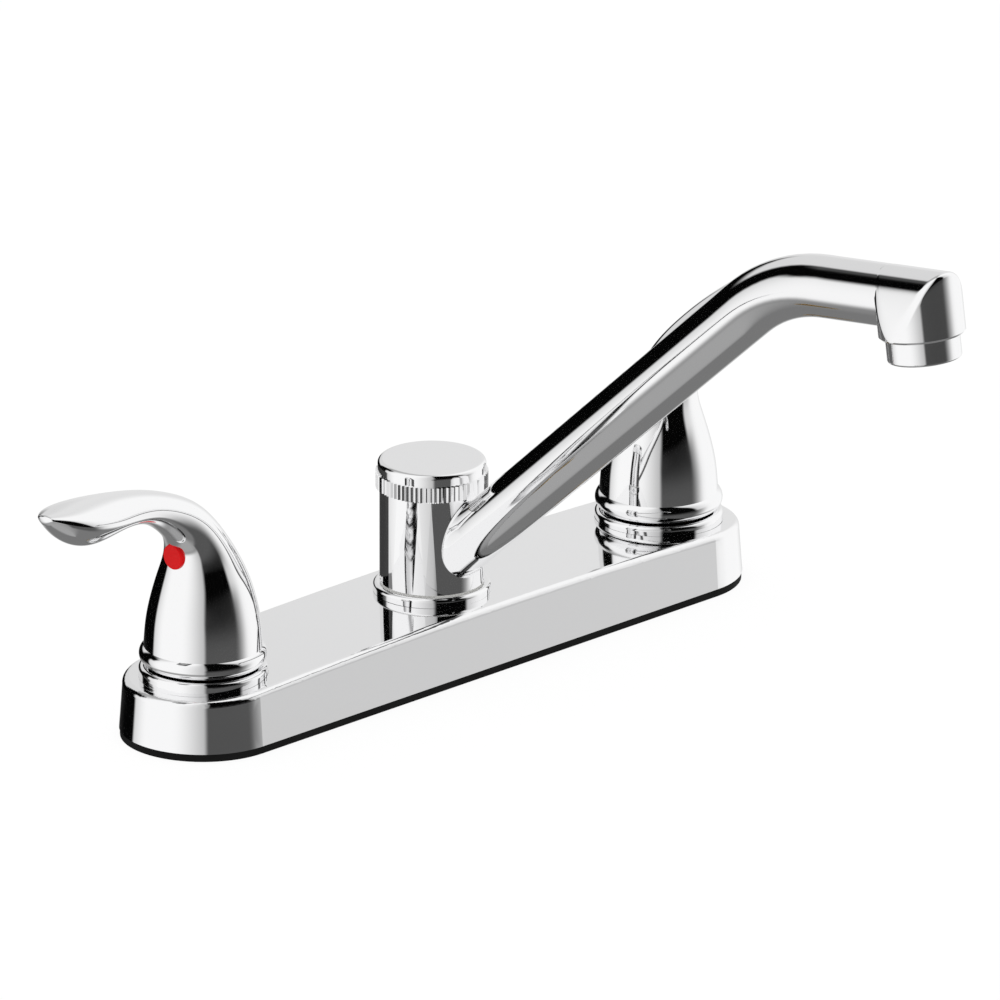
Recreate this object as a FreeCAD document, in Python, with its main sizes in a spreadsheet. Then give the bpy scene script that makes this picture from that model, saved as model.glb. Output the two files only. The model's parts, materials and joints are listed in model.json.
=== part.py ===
import FreeCAD, Part
import math
import os
import re

import Sketcher

# Two handle kitchen faucet with a deck plate, quarter-turn levers and a swivel spout.
# Frame: millimetres, +Z up, origin in the middle of the gasket's underside, where the faucet
# meets the deck. The spout points to -Y, the hot valve stands at -X and the cold valve at +X.
# Heights are above the deck unless a value says from where it is measured.

SIZES = {
    # Gap between pieces that never touch, and how far a cut runs past the face it opens
    "free_gap": 0.3,
    "overrun": 1.0,
    # Deck plate and gasket
    "handle_spacing": 203.2,
    "gasket_thickness": 2.5,
    "gasket_inset": 0.3,
    "plate_end_radius": 26.6,
    "plate_height": 19.7,
    "plate_draft": 4.0,
    "plate_crown": 2.0,
    "plate_wall": 1.8,
    "plate_edge_radius": 2.2,
    "seat_recess": 0.9,
    "seat_fit": 0.1,
    "boss_margin": 1.6,
    # Valve bodies under the plate
    "shank_radius": 10.4,
    "shank_length": 50.0,
    "inlet_thread_length": 14.0,
    "shank_relief_width": 1.6,
    "shank_relief_depth": 0.8,
    "shank_clearance": 1.2,
    "flange_radius": 17.0,
    "flange_thickness": 3.0,
    "barrel_radius": 13.0,
    "neck_radius": 10.5,
    "neck_rise": 15.6,
    "inlet_radius": 6.0,
    "seat_height": 8.0,
    "neck_clearance": 0.3,
    # Crossover tubes
    "crossover_radius": 4.8,
    "crossover_wall": 0.8,
    "crossover_height": 11.2,
    "socket_depth": 3.0,
    "braze_gap": 0.05,
    # Cartridges
    "cartridge_radius": 8.4,
    "cartridge_wall": 1.2,
    "cartridge_fit": 0.1,
    "waist_relief": 0.5,
    "waist_band": 0.8,
    "waist_slope": 0.6,
    "window_half_width": 3.8,
    "seal_height": 2.0,
    "seal_wall": 3.6,
    "disc_height": 2.6,
    "disc_clearance": 0.15,
    "port_span": 84.0,
    "port_inner_radius": 1.6,
    "port_outer_radius": 5.6,
    "cartridge_flange": 2.0,
    "cartridge_hex": 19.0,
    "cartridge_hex_height": 4.0,
    "guide_radius": 6.6,
    "guide_rise": 4.0,
    # Stems
    "stem_radius": 4.0,
    "stem_fit": 0.05,
    "stem_foot_height": 3.0,
    "stem_seal_rise": 1.0,
    "tongue_reach": 6.0,
    "tongue_half_width": 1.0,
    "tongue_depth": 1.3,
    "tongue_fit": 0.05,
    "stem_flat": 3.2,
    "stem_socket_depth": 18.0,
    "o_ring_thickness": 1.4,
    "o_ring_squeeze": 0.02,
    # Base rings and collar nuts
    "ring_height": 4.4,
    "ring_radius": 20.4,
    "ring_rim": 3.2,
    "ring_wall": 1.6,
    "ring_bead": 1.5,
    "collar_nut_width": 24.0,
    "collar_nut_height": 4.4,
    "thread_gap": 0.05,
    # Handles: bell and hollow
    "handle_gap": 0.5,
    "bead_radius": 20.3,
    "bead_height": 6.1,
    "bead_bulge": 2.0,
    "bell_wall": 2.4,
    "hollow_straight": 12.0,
    "hollow_taper": 0.8,
    "hollow_height": 21.8,
    "hollow_top_radius": 9.6,
    # Index buttons and handle screws
    "button_height": 38.2,
    "button_radius": 4.1,
    "button_face": 13.7,
    "button_thickness": 3.0,
    "button_fit": 0.05,
    "button_round": 0.5,
    "screw_radius": 2.5,
    "screw_length": 6.0,
    "screw_key": 2.5,
    "screw_key_depth": 2.5,
    # Mounting hardware under the deck
    "deck_thickness": 22.0,
    "washer_radius": 17.0,
    "washer_thickness": 1.6,
    "mounting_nut_radius": 14.0,
    "mounting_nut_height": 10.0,
    "wing_reach": 21.0,
    "wing_thickness": 3.0,
    "wing_height": 7.0,
    # Spout post and its ring, bearing and nut
    "post_radius": 11.0,
    "post_bore": 7.0,
    "post_neck_radius": 12.0,
    "post_window_radius": 3.6,
    "post_waist": 1.4,
    "post_waist_height": 12.0,
    "post_seal_margin": 4.4,
    "post_ceiling_gap": 0.1,
    "hub_ring_radius": 18.7,
    "hub_ring_height": 2.9,
    "hub_ring_round": 1.2,
    "bearing_height": 0.6,
    "nut_top_height": 9.0,
    "nut_cap_radius": 17.2,
    "nut_edge_radius": 1.5,
    "nut_end_play": 0.2,
    "knurl_height": 5.0,
    "knurl_radius": 17.9,
    "knurl_count": 72,
    "knurl_depth": 0.55,
    "knurl_share": 0.8,
    "thread_radius": 10.0,
    "thread_height": 6.0,
    # Spout
    "sleeve_radius": 16.65,
    "sleeve_height": 31.2,
    "sleeve_fit": 0.08,
    "spout_root_height": 42.6,
    "spout_rise": 41.5,
    "spout_bend_reach": 155.0,
    "spout_bend_radius": 66.0,
    "spout_end_rise": 8.3,
    "spout_reach": 215.0,
    "tube_root_radius": 9.15,
    "tube_bend_radius": 9.95,
    "tube_end_radius": 10.0,
    "tube_wall": 1.4,
    "tube_start": 9.0,
    "passage_start": 18.5,
    "spout_port_radius": 3.8,
    "root_fillet": 0.6,
    "nose_fillet": 2.5,
    # Nose and aerator
    "nose_radius": 13.8,
    "nose_drop": 11.3,
    "nose_crest_step": 0.06,
    "nose_crest_radius": 11.5,
    "nose_top_slope": 37.0,
    "nose_edge_radius": 1.5,
    "nose_rim_chamfer": 0.8,
    "outlet_radius": 9.4,
    "outlet_roof": 3.5,
    "aerator_bore_radius": 10.75,
    "aerator_bore_depth": 7.5,
    "aerator_radius": 11.8,
    "aerator_skirt": 7.4,
    "aerator_wall": 1.4,
    "aerator_lip": 0.7,
    "aerator_gap": 0.3,
    "aerator_edge_radius": 0.8,
    "aerator_washer_height": 1.8,
    "insert_fit": 0.05,
    "insert_thickness": 2.4,
    "insert_wall": 1.0,
    "insert_hole_radius": 0.7,
    "insert_hole_count": 12,
    "insert_inner_ring": 3.4,
    "insert_outer_ring": 6.4,
}

# The handle is a loft through egg-shaped sections, from the top of the bead to the lever's tip.
# Each section is given by its centre, out from the valve's axis and up from the handle's foot,
# its tilt from level, its depth towards the back or top and towards the front or underside,
# and its half width.
HANDLE_SECTIONS = (
    ("bell_foot", 0.0, 5.0, 0.0, 18.9, 18.9, 18.9),
    ("bell_low", 0.0, 13.8, 0.0, 18.3, 18.3, 18.3),
    ("bell_middle", 0.0, 21.8, 0.0, 16.6, 16.7, 16.6),
    ("bell_high", 0.2, 29.3, 0.0, 14.3, 14.4, 14.4),
    ("bell_shoulder", 1.6, 35.0, 9.5, 12.1, 12.1, 12.2),
    ("bell_top", 3.9, 41.0, 25.0, 9.7, 9.7, 10.3),
    ("lever_root", 8.2, 47.3, 47.0, 8.1, 7.6, 8.9),
    ("lever_rise", 15.5, 52.6, 71.0, 7.1, 6.1, 7.9),
    ("lever_neck", 25.0, 56.8, 86.0, 6.5, 4.6, 7.7),
    ("lever_middle", 40.0, 59.2, 90.0, 7.1, 4.4, 9.2),
    ("lever_blade", 54.0, 61.4, 90.0, 6.0, 8.4, 11.0),
    ("lever_point", 63.0, 63.4, 90.0, 3.7, 6.6, 8.8),
    ("lever_tip", 70.0, 65.6, 90.0, 0.9, 2.0, 2.8),
)
SECTION_SIZES = ("out", "up", "tilt", "back", "front", "half_width")

# The spout tube's outer radius at its root, along its bend and at its end.
TUBE_RADII = ("tube_root_radius", "tube_bend_radius", "tube_end_radius")

# Levels and places that follow from the sizes above, as expressions over their names.
HALF_SPACING = "(handle_spacing / 2)"
PLATE_TOP = "(gasket_thickness + plate_height)"
CROWN_RADIUS = "((handle_spacing ^ 2 / 4 + plate_crown ^ 2) / (2 * plate_crown))"
RING_SEAT = f"({PLATE_TOP} - plate_crown - seat_recess)"
BOSS_UNDERSIDE = f"({RING_SEAT} - plate_wall)"
BOSS_RADIUS = "(ring_radius + boss_margin)"
RING_TOP = f"({RING_SEAT} + ring_height)"
HANDLE_FOOT = f"({RING_TOP} + handle_gap)"
NECK_TOP = f"({BOSS_UNDERSIDE} + neck_rise)"
FLANGE_TOP = "(gasket_thickness + flange_thickness)"
CARTRIDGE_BORE = "(cartridge_radius + cartridge_fit)"
CARTRIDGE_INSIDE = "(cartridge_radius - cartridge_wall)"
SEAL_TOP = "(seat_height + seal_height)"
FIXED_DISC_TOP = f"({SEAL_TOP} + disc_height)"
TURNING_DISC_TOP = f"({FIXED_DISC_TOP} + disc_height)"
STEM_FOOT_TOP = f"({TURNING_DISC_TOP} + stem_foot_height)"
STEM_SHOULDER = f"({STEM_FOOT_TOP} + free_gap)"
DISC_RADIUS = f"({CARTRIDGE_INSIDE} - disc_clearance)"
HEX_BASE = f"({NECK_TOP} + cartridge_flange)"
HEX_TOP = f"({HEX_BASE} + cartridge_hex_height)"
GUIDE_TOP = f"({HEX_TOP} + guide_rise)"
HOLLOW_TOP = f"({HANDLE_FOOT} + hollow_height)"
STEM_TOP = f"({HOLLOW_TOP} + stem_socket_depth)"
STEM_BORE = "(stem_radius + stem_fit)"
STEM_SEAL_LEVEL = f"({NECK_TOP} + stem_seal_rise)"
BUTTON_LEVEL = f"({HANDLE_FOOT} + button_height)"
BUTTON_BACK = "(button_face - button_thickness)"
SCREW_START = "(stem_flat + stem_fit)"
CEILING = f"({PLATE_TOP} - plate_wall - post_ceiling_gap)"
HUB_RING_TOP = f"({PLATE_TOP} + hub_ring_height)"
SLEEVE_FOOT = f"({HUB_RING_TOP} + bearing_height)"
SLEEVE_TOP = f"({SLEEVE_FOOT} + sleeve_height)"
NUT_FOOT = f"({SLEEVE_TOP} + nut_end_play)"
NUT_TOP = f"({NUT_FOOT} + nut_top_height)"
SLEEVE_BORE = "(post_radius + sleeve_fit)"
WAIST_FOOT = "(spout_root_height - post_waist_height / 2)"
WAIST_TOP = "(spout_root_height + post_waist_height / 2)"
LOW_SEAL = f"({WAIST_FOOT} - post_seal_margin)"
HIGH_SEAL = f"({WAIST_TOP} + post_seal_margin)"
POST_TOP = f"({NUT_FOOT} + thread_height)"
BEND_HEIGHT = "(spout_root_height + (spout_bend_reach - sleeve_radius) * tan(spout_rise))"
BEND_TANGENT = "(spout_bend_radius * tan((spout_rise - spout_end_rise) / 2))"
BEND_CENTRE_REACH = (
    f"(spout_bend_reach - {BEND_TANGENT} * cos(spout_rise) + spout_bend_radius * sin(spout_rise))"
)
BEND_CENTRE_HEIGHT = (
    f"({BEND_HEIGHT} - {BEND_TANGENT} * sin(spout_rise) - spout_bend_radius * cos(spout_rise))"
)
PASSAGE_RISE = "((passage_start - sleeve_radius) * tan(spout_rise))"
PORT_DEPTH = f"(passage_start + (spout_port_radius + {PASSAGE_RISE}) * tan(spout_rise))"
END_RUN = "((spout_reach - spout_bend_reach) / cos(spout_end_rise))"
NOSE_HEIGHT = f"({BEND_HEIGHT} + (spout_reach - spout_bend_reach) * tan(spout_end_rise))"
NOSE_CREST = "(tube_end_radius + nose_crest_step)"
AERATOR_SEAT = "(aerator_bore_depth - nose_drop)"
WASHER_UNDERSIDE = f"({AERATOR_SEAT} - aerator_washer_height)"
AERATOR_FLANGE = "(-nose_drop - aerator_gap)"
AERATOR_FOOT = f"({AERATOR_FLANGE} - aerator_skirt)"
AERATOR_THREAD = "(aerator_bore_radius - thread_gap)"
AERATOR_INSIDE = "(aerator_bore_radius - aerator_wall)"
INSERT_RADIUS = f"({AERATOR_INSIDE} - insert_fit)"
INSERT_FOOT = f"({AERATOR_FOOT} + aerator_lip)"

doc = FreeCAD.newDocument("faucet")
sheet = doc.addObject("Spreadsheet::Sheet", "Sizes")


def fill_sheet():
    rows = dict(SIZES)
    for name, *sizes in HANDLE_SECTIONS:
        for kind, size in zip(SECTION_SIZES, sizes):
            rows[f"{name}_{kind}"] = size
    for row, (name, size) in enumerate(rows.items(), start=1):
        sheet.set(f"A{row}", name)
        sheet.set(f"B{row}", str(size))
        sheet.setAlias(f"B{row}", name)
    doc.recompute()
    return set(rows)


NAMES = fill_sheet()


def value(text):
    return float(sheet.evalExpression(text))


def bound(text):
    """The expression with every size's name pointing at the sheet."""
    return re.sub(r"[a-z_]\w*", lambda word: f"Sizes.{word[0]}" if word[0] in NAMES else word[0], text)


def bind(thing, prop, text):
    thing.setExpression(prop, bound(text))


def refresh(*things):
    for thing in things:
        thing.recompute()


# ---------------------------------------------------------------- bodies and sketches


def new_body(label):
    body = doc.addObject("PartDesign::Body", label)
    body.Label = label
    return body


def origin_plane(body, role):
    return next(item for item in body.Origin.OriginFeatures if item.Role == role)


def new_sketch(body, name, role, height=None):
    """A sketch on one of the body's own planes, shifted along the plane's normal by height."""
    sketch = body.newObject("Sketcher::SketchObject", f"{body.Name}_{name}")
    sketch.AttachmentSupport = (origin_plane(body, role), "")
    sketch.MapMode = "FlatFace"
    if height is not None:
        sketch.AttachmentOffset.Base.z = value(height)
        bind(sketch, "AttachmentOffset.Base.z", height)
    return sketch


def size_constraint(sketch, kind, name, text, *where):
    constraint = Sketcher.Constraint(kind, *where, value(text))
    constraint.Name = name
    sketch.addConstraint(constraint)
    bind(sketch, f"Constraints.{name}", text)


def pin_point(sketch, name, geometry, end, x, y):
    """Fixes a point of the sketch at x, y; a zero puts it on the axis."""
    for kind, text, axis in (("DistanceX", x, -2), ("DistanceY", y, -1)):
        if text == "0":
            sketch.addConstraint(Sketcher.Constraint("PointOnObject", geometry, end, axis))
        else:
            size_constraint(sketch, kind, f"{name}_{kind[-1].lower()}", text, geometry, end)


def arc_between(start, finish, radius):
    """The short arc from start to finish; a positive radius turns left, a negative one right."""
    chord = finish - start
    left = FreeCAD.Vector(-chord.y, chord.x, 0).normalize()
    rise = math.sqrt(max(radius ** 2 - (chord.Length / 2) ** 2, 0))
    centre = start + chord / 2 + left * math.copysign(rise, radius)
    first, last = (start, finish) if radius > 0 else (finish, start)
    angles = [math.atan2(point.y - centre.y, point.x - centre.x) for point in (first, last)]
    circle = Part.Circle(centre, FreeCAD.Vector(0, 0, 1), abs(radius))
    return Part.ArcOfCircle(circle, *angles)


def draw(sketch, corners, closed=True):
    """Draws lines and arcs from corner to corner.

    Each corner is (name, x, y), or (name, x, y, radius) where an arc leads on to the next one.
    """
    points = [FreeCAD.Vector(value(x), value(y), 0) for _, x, y, *_ in corners]
    ends = []
    for index, (name, _, _, *radius) in enumerate(corners if closed else corners[:-1]):
        start, finish = points[index], points[(index + 1) % len(points)]
        turn = value(radius[0]) if radius else 0
        shape = arc_between(start, finish, turn) if radius else Part.LineSegment(start, finish)
        geometry = sketch.addGeometry(shape, False)
        ends.append((geometry, 1, 2) if turn >= 0 else (geometry, 2, 1))
        if radius:
            text = radius[0] if turn > 0 else f"-({radius[0]})"
            size_constraint(sketch, "Radius", f"{name}_radius", text, geometry)
    for index, (geometry, start, _) in enumerate(ends):
        name, x, y, *_ = corners[index]
        pin_point(sketch, name, geometry, start, x, y)
        if index:
            before, _, last = ends[index - 1]
            sketch.addConstraint(Sketcher.Constraint("Coincident", before, last, geometry, start))
    geometry, _, last = ends[-1]
    if closed:
        sketch.addConstraint(Sketcher.Constraint("Coincident", geometry, last, ends[0][0], ends[0][1]))
    else:
        name, x, y, *_ = corners[-1]
        pin_point(sketch, name, geometry, last, x, y)


def draw_circle(sketch, name, radius, x="0", y="0"):
    circle = Part.Circle(FreeCAD.Vector(value(x), value(y), 0), FreeCAD.Vector(0, 0, 1), value(radius))
    geometry = sketch.addGeometry(circle, False)
    pin_point(sketch, name, geometry, 3, x, y)
    size_constraint(sketch, "Radius", f"{name}_radius", radius, geometry)


def draw_slot(sketch, half_length, radius):
    """A slot along X: two straight sides and two half-round ends."""
    half, end = value(half_length), value(radius)
    up = FreeCAD.Vector(0, 0, 1)
    right = Part.Circle(FreeCAD.Vector(half, 0, 0), up, end)
    left = Part.Circle(FreeCAD.Vector(-half, 0, 0), up, end)
    arcs = [
        sketch.addGeometry(Part.ArcOfCircle(right, -math.pi / 2, math.pi / 2), False),
        sketch.addGeometry(Part.ArcOfCircle(left, math.pi / 2, 3 * math.pi / 2), False),
    ]
    sides = [
        sketch.addGeometry(Part.LineSegment(FreeCAD.Vector(half, y, 0), FreeCAD.Vector(-half, y, 0)), False)
        for y in (end, -end)
    ]
    for arc, sign in zip(arcs, (1, -1)):
        text = half_length if sign > 0 else f"-{half_length}"
        pin_point(sketch, f"end_{arc}", arc, 3, text, "0")
    size_constraint(sketch, "Radius", "end_radius", radius, arcs[0])
    for first, first_end, second, second_end in (
        (arcs[0], 2, sides[0], 1),
        (sides[0], 2, arcs[1], 1),
        (arcs[1], 2, sides[1], 2),
        (sides[1], 1, arcs[0], 1),
    ):
        sketch.addConstraint(Sketcher.Constraint("Tangent", first, first_end, second, second_end))


def draw_rectangle(sketch, name, left, right, low, high):
    draw(sketch, (
        (f"{name}_low_left", left, low),
        (f"{name}_low_right", right, low),
        (f"{name}_high_right", right, high),
        (f"{name}_high_left", left, high),
    ))


def draw_hexagon(sketch, across_flats, level="0"):
    """A hexagon with a corner straight up, centred on the sketch's V axis at the given level."""
    half = f"({across_flats} / 2)"
    corner = f"({across_flats} / sqrt(3))"
    draw(sketch, (
        ("top", "0", f"{level} + {corner}"),
        ("upper_left", f"-{half}", f"{level} + {corner} / 2"),
        ("lower_left", f"-{half}", f"{level} - {corner} / 2"),
        ("bottom", "0", f"{level} - {corner}"),
        ("lower_right", half, f"{level} - {corner} / 2"),
        ("upper_right", half, f"{level} + {corner} / 2"),
    ))


# ---------------------------------------------------------------- features


def feature(body, kind, name):
    return body.newObject(f"PartDesign::{kind}", f"{body.Name}_{name}")


def extrude(body, kind, sketch, length, reverse=False, both=False):
    """A Pad or Pocket; both grows it half to each side of the sketch."""
    made = feature(body, kind, f"{sketch.Label.split('_')[-1]}_{kind.lower()}")
    made.Profile = sketch
    made.Reversed = reverse
    if both:
        made.SideType = "Symmetric"
    bind(made, "Length", length)
    refresh(sketch, made)
    return made


def turn_profile(body, corners, kind="Revolution", name="profile", sketch=None):
    """Turns a half profile, drawn as radius and height, about the body's Z axis."""
    sketch = sketch or new_sketch(body, name, "XZ_Plane")
    draw(sketch, corners)
    return turn_sketch(body, sketch, kind, name)


def turn_sketch(body, sketch, kind, name, axis="V_Axis", angle="360"):
    """A Revolution or Groove of a sketch about one of its own axes."""
    made = feature(body, kind, f"{name}_{kind.lower()}")
    made.Profile = sketch
    made.ReferenceAxis = (sketch, [axis])
    made.Angle = value(angle)
    bind(made, "Angle", angle)
    refresh(sketch, made)
    return made


def cut_disc(body, name, radius, foot, top, x="0", y="0"):
    """A round hole from level foot up to level top."""
    sketch = new_sketch(body, name, "XY_Plane", foot)
    draw_circle(sketch, name, radius, x, y)
    return extrude(body, "Pocket", sketch, f"{top} - {foot}", reverse=True)


def add_disc(body, name, radius, foot, top, x="0", y="0"):
    sketch = new_sketch(body, name, "XY_Plane", foot)
    draw_circle(sketch, name, radius, x, y)
    return extrude(body, "Pad", sketch, f"{top} - {foot}")


def ring_profile(inner, outer, foot, top):
    return (
        ("foot_in", inner, foot),
        ("foot_out", outer, foot),
        ("top_out", outer, top),
        ("top_in", inner, top),
    )


def groove_corners(name, radius, level):
    """The corners of an o-ring's groove in a shaft of the given radius, from its foot up."""
    foot, top = f"{level} - o_ring_thickness / 2", f"{level} + o_ring_thickness / 2"
    inside = f"({radius} + o_ring_squeeze - o_ring_thickness)"
    return (
        (f"{name}_foot", radius, foot),
        (f"{name}_foot_in", inside, foot),
        (f"{name}_top_in", inside, top),
        (f"{name}_top", radius, top),
    )


def repeat_round(body, original, count):
    pattern = feature(body, "PolarPattern", f"{original.Name.split('_')[-1]}_pattern")
    pattern.Originals = [original]
    pattern.Axis = (origin_axis(body, "Z_Axis"), [""])
    pattern.Angle = 360
    bind(pattern, "Occurrences", count)
    body.Tip = pattern
    refresh(pattern)
    return pattern


def origin_axis(body, role):
    return next(item for item in body.Origin.OriginFeatures if item.Role == role)


def round_edges(body, base, radius, chosen, name="round"):
    """A fillet on the edges of base that the test picks."""
    names = [f"Edge{n}" for n, edge in enumerate(base.Shape.Edges, start=1) if chosen(edge)]
    fillet = feature(body, "Fillet", name)
    fillet.Base = (base, names)
    bind(fillet, "Radius", radius)
    refresh(fillet)
    return fillet


# ---------------------------------------------------------------- deck plate and gasket


def make_deck_gasket():
    body = new_body("deck_gasket")
    sketch = new_sketch(body, "outline", "XY_Plane")
    draw_slot(sketch, HALF_SPACING, "(plate_end_radius - gasket_inset)")
    extrude(body, "Pad", sketch, "gasket_thickness")
    for side, place in (("hot", f"-{HALF_SPACING}"), ("cold", HALF_SPACING)):
        cut_disc(body, side, "shank_radius + shank_clearance", "0", "gasket_thickness", place)
    return body


def crowned_block(body, end_radius, foot, top, crown_radius):
    """A slot-shaped block with drafted sides and a gently arched top."""
    outline = new_sketch(body, "outline", "XY_Plane", foot)
    draw_slot(outline, HALF_SPACING, end_radius)
    block = extrude(body, "Pad", outline, f"{top} - {foot} + plate_crown")
    bind(block, "TaperAngle", "-plate_draft")
    refresh(block)
    crown = new_sketch(body, "crown", "XZ_Plane")
    reach = f"({HALF_SPACING} + 2 * plate_end_radius)"
    low = f"({top} - ({crown_radius} - sqrt({crown_radius} ^ 2 - {reach} ^ 2)))"
    high = f"({top} + 2 * plate_crown)"
    draw(crown, (
        ("left_low", f"-{reach}", low),
        ("left_high", f"-{reach}", high),
        ("right_high", reach, high),
        ("right_low", reach, low, crown_radius),
    ))
    return extrude(body, "Pocket", crown, "4 * plate_end_radius", both=True)


def make_deck_plate():
    """A hollow plate of even wall, thickened under each handle, with three holes."""
    core = new_body("plate_core")
    inner_radius = "(plate_end_radius - plate_wall)"
    inner_crown = f"({CROWN_RADIUS} - plate_wall)"
    crowned_block(core, inner_radius, "gasket_thickness", f"({PLATE_TOP} - plate_wall)", inner_crown)
    body = new_body("deck_plate")
    block = crowned_block(body, "plate_end_radius", "gasket_thickness", PLATE_TOP, CROWN_RADIUS)
    low = value(PLATE_TOP) - 2 * value("plate_crown")
    round_edges(body, block, "plate_edge_radius", lambda edge: edge.BoundBox.ZMin > low)
    hollow = feature(body, "Boolean", "hollow")
    hollow.setObjects([core])
    hollow.Type = "Cut"
    refresh(core, body, hollow)
    for side, place in (("hot", f"-{HALF_SPACING}"), ("cold", HALF_SPACING)):
        add_disc(body, f"{side}boss", BOSS_RADIUS, BOSS_UNDERSIDE, RING_SEAT, place)
        cut_disc(body, f"{side}seat", "(ring_radius + seat_fit)", RING_SEAT, PLATE_TOP, place)
        hole = f"{side}hole"
        cut_disc(body, hole, "(neck_radius + neck_clearance)", BOSS_UNDERSIDE, RING_SEAT, place)
    foot, top = f"({PLATE_TOP} - 2 * plate_wall)", f"({PLATE_TOP} + overrun)"
    cut_disc(body, "spouthole", "(post_neck_radius + neck_clearance)", foot, top)
    return body


# ---------------------------------------------------------------- valve bodies and what they hold


def place_side(body, side):
    """Stands a body on the hot or the cold valve's axis; its own +X then points outward."""
    sign = -1 if side == "hot" else 1
    angle = 180 if side == "hot" else 0
    turn = FreeCAD.Rotation(FreeCAD.Vector(0, 0, 1), angle)
    body.Placement = FreeCAD.Placement(FreeCAD.Vector(sign * value(HALF_SPACING), 0, 0), turn)
    bind(body, "Placement.Base.x", f"{sign} * {HALF_SPACING}")


def make_valve_body(side):
    """The valve's casting: threaded inlet, relief groove, shank, flange, barrel and neck."""
    body = new_body(f"{side}_valve_body")
    relief = "(inlet_thread_length - shank_length)"
    relief_top = f"({relief} + shank_relief_width)"
    relief_radius = "(shank_radius - shank_relief_depth)"
    turn_profile(body, (
        ("inlet", "inlet_radius", "-shank_length"),
        ("shank_end", "shank_radius", "-shank_length"),
        ("relief_foot", "shank_radius", relief),
        ("relief_foot_in", relief_radius, relief),
        ("relief_top_in", relief_radius, relief_top),
        ("relief_top", "shank_radius", relief_top),
        ("shank_root", "shank_radius", "gasket_thickness"),
        ("flange_low", "flange_radius", "gasket_thickness"),
        ("flange_high", "flange_radius", FLANGE_TOP),
        ("barrel_low", "barrel_radius", FLANGE_TOP),
        ("barrel_high", "barrel_radius", BOSS_UNDERSIDE),
        ("neck_low", "neck_radius", BOSS_UNDERSIDE),
        ("neck_high", "neck_radius", NECK_TOP),
        ("bore_high", CARTRIDGE_BORE, NECK_TOP),
        ("bore_low", CARTRIDGE_BORE, "seat_height"),
        ("seat", "inlet_radius", "seat_height"),
    ))
    cut_port(body, "-(barrel_radius + overrun)", "0")
    place_side(body, side)
    return body


def cut_port(body, start, finish):
    """A level round port along X, at the crossover tubes' height."""
    sketch = new_sketch(body, "port", "YZ_Plane", start)
    draw_circle(sketch, "port", "(crossover_radius + braze_gap)", "0", "crossover_height")
    extrude(body, "Pocket", sketch, f"{finish} - {start}", reverse=True)


def make_crossover_tube(side):
    """A tube from the barrel of one valve body to the barrel of the spout post."""
    body = new_body(f"{side}_crossover_tube")
    start = f"(-{HALF_SPACING} + barrel_radius - socket_depth)"
    finish = "(-barrel_radius + socket_depth)"
    sketch = new_sketch(body, "section", "YZ_Plane", start)
    draw_circle(sketch, "outside", "crossover_radius", "0", "crossover_height")
    draw_circle(sketch, "inside", "(crossover_radius - crossover_wall)", "0", "crossover_height")
    extrude(body, "Pad", sketch, f"{finish} - {start}")
    place_side(body, side)
    return body


def make_seat_seal(side):
    body = new_body(f"{side}_seat_seal")
    inside = "(cartridge_radius - seal_wall)"
    turn_profile(body, ring_profile(inside, "cartridge_radius", "seat_height", SEAL_TOP))
    place_side(body, side)
    return body


def ported_disc(body, foot, angle):
    """A ceramic disc with two ports across from each other."""
    add_disc(body, "disc", DISC_RADIUS, foot, f"({foot} + disc_height)")
    port = new_sketch(body, "port", "XY_Plane", foot)
    first = f"({angle} - port_span / 2)"
    last = f"({angle} + port_span / 2)"
    inner, outer = "port_inner_radius", "port_outer_radius"
    draw(port, (
        ("inner_start", f"{inner} * cos{first}", f"{inner} * sin{first}"),
        ("outer_start", f"{outer} * cos{first}", f"{outer} * sin{first}", outer),
        ("outer_end", f"{outer} * cos{last}", f"{outer} * sin{last}"),
        ("inner_end", f"{inner} * cos{last}", f"{inner} * sin{last}"),
    ))
    repeat_round(body, extrude(body, "Pocket", port, "disc_height", reverse=True), "2")


def make_fixed_disc(side):
    body = new_body(f"{side}_fixed_disc")
    ported_disc(body, SEAL_TOP, "0")
    place_side(body, side)
    return body


def make_turning_disc(side):
    """The upper disc, slotted across its top for the stem's tongue."""
    body = new_body(f"{side}_turning_disc")
    ported_disc(body, FIXED_DISC_TOP, "90")
    floor = f"({TURNING_DISC_TOP} - tongue_depth - tongue_fit)"
    slot = new_sketch(body, "slot", "XY_Plane", floor)
    half = "(tongue_half_width + tongue_fit)"
    draw_rectangle(slot, "slot", "-cartridge_radius", "cartridge_radius", f"-{half}", half)
    extrude(body, "Pocket", slot, "disc_height", reverse=True)
    place_side(body, side)
    return body


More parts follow.
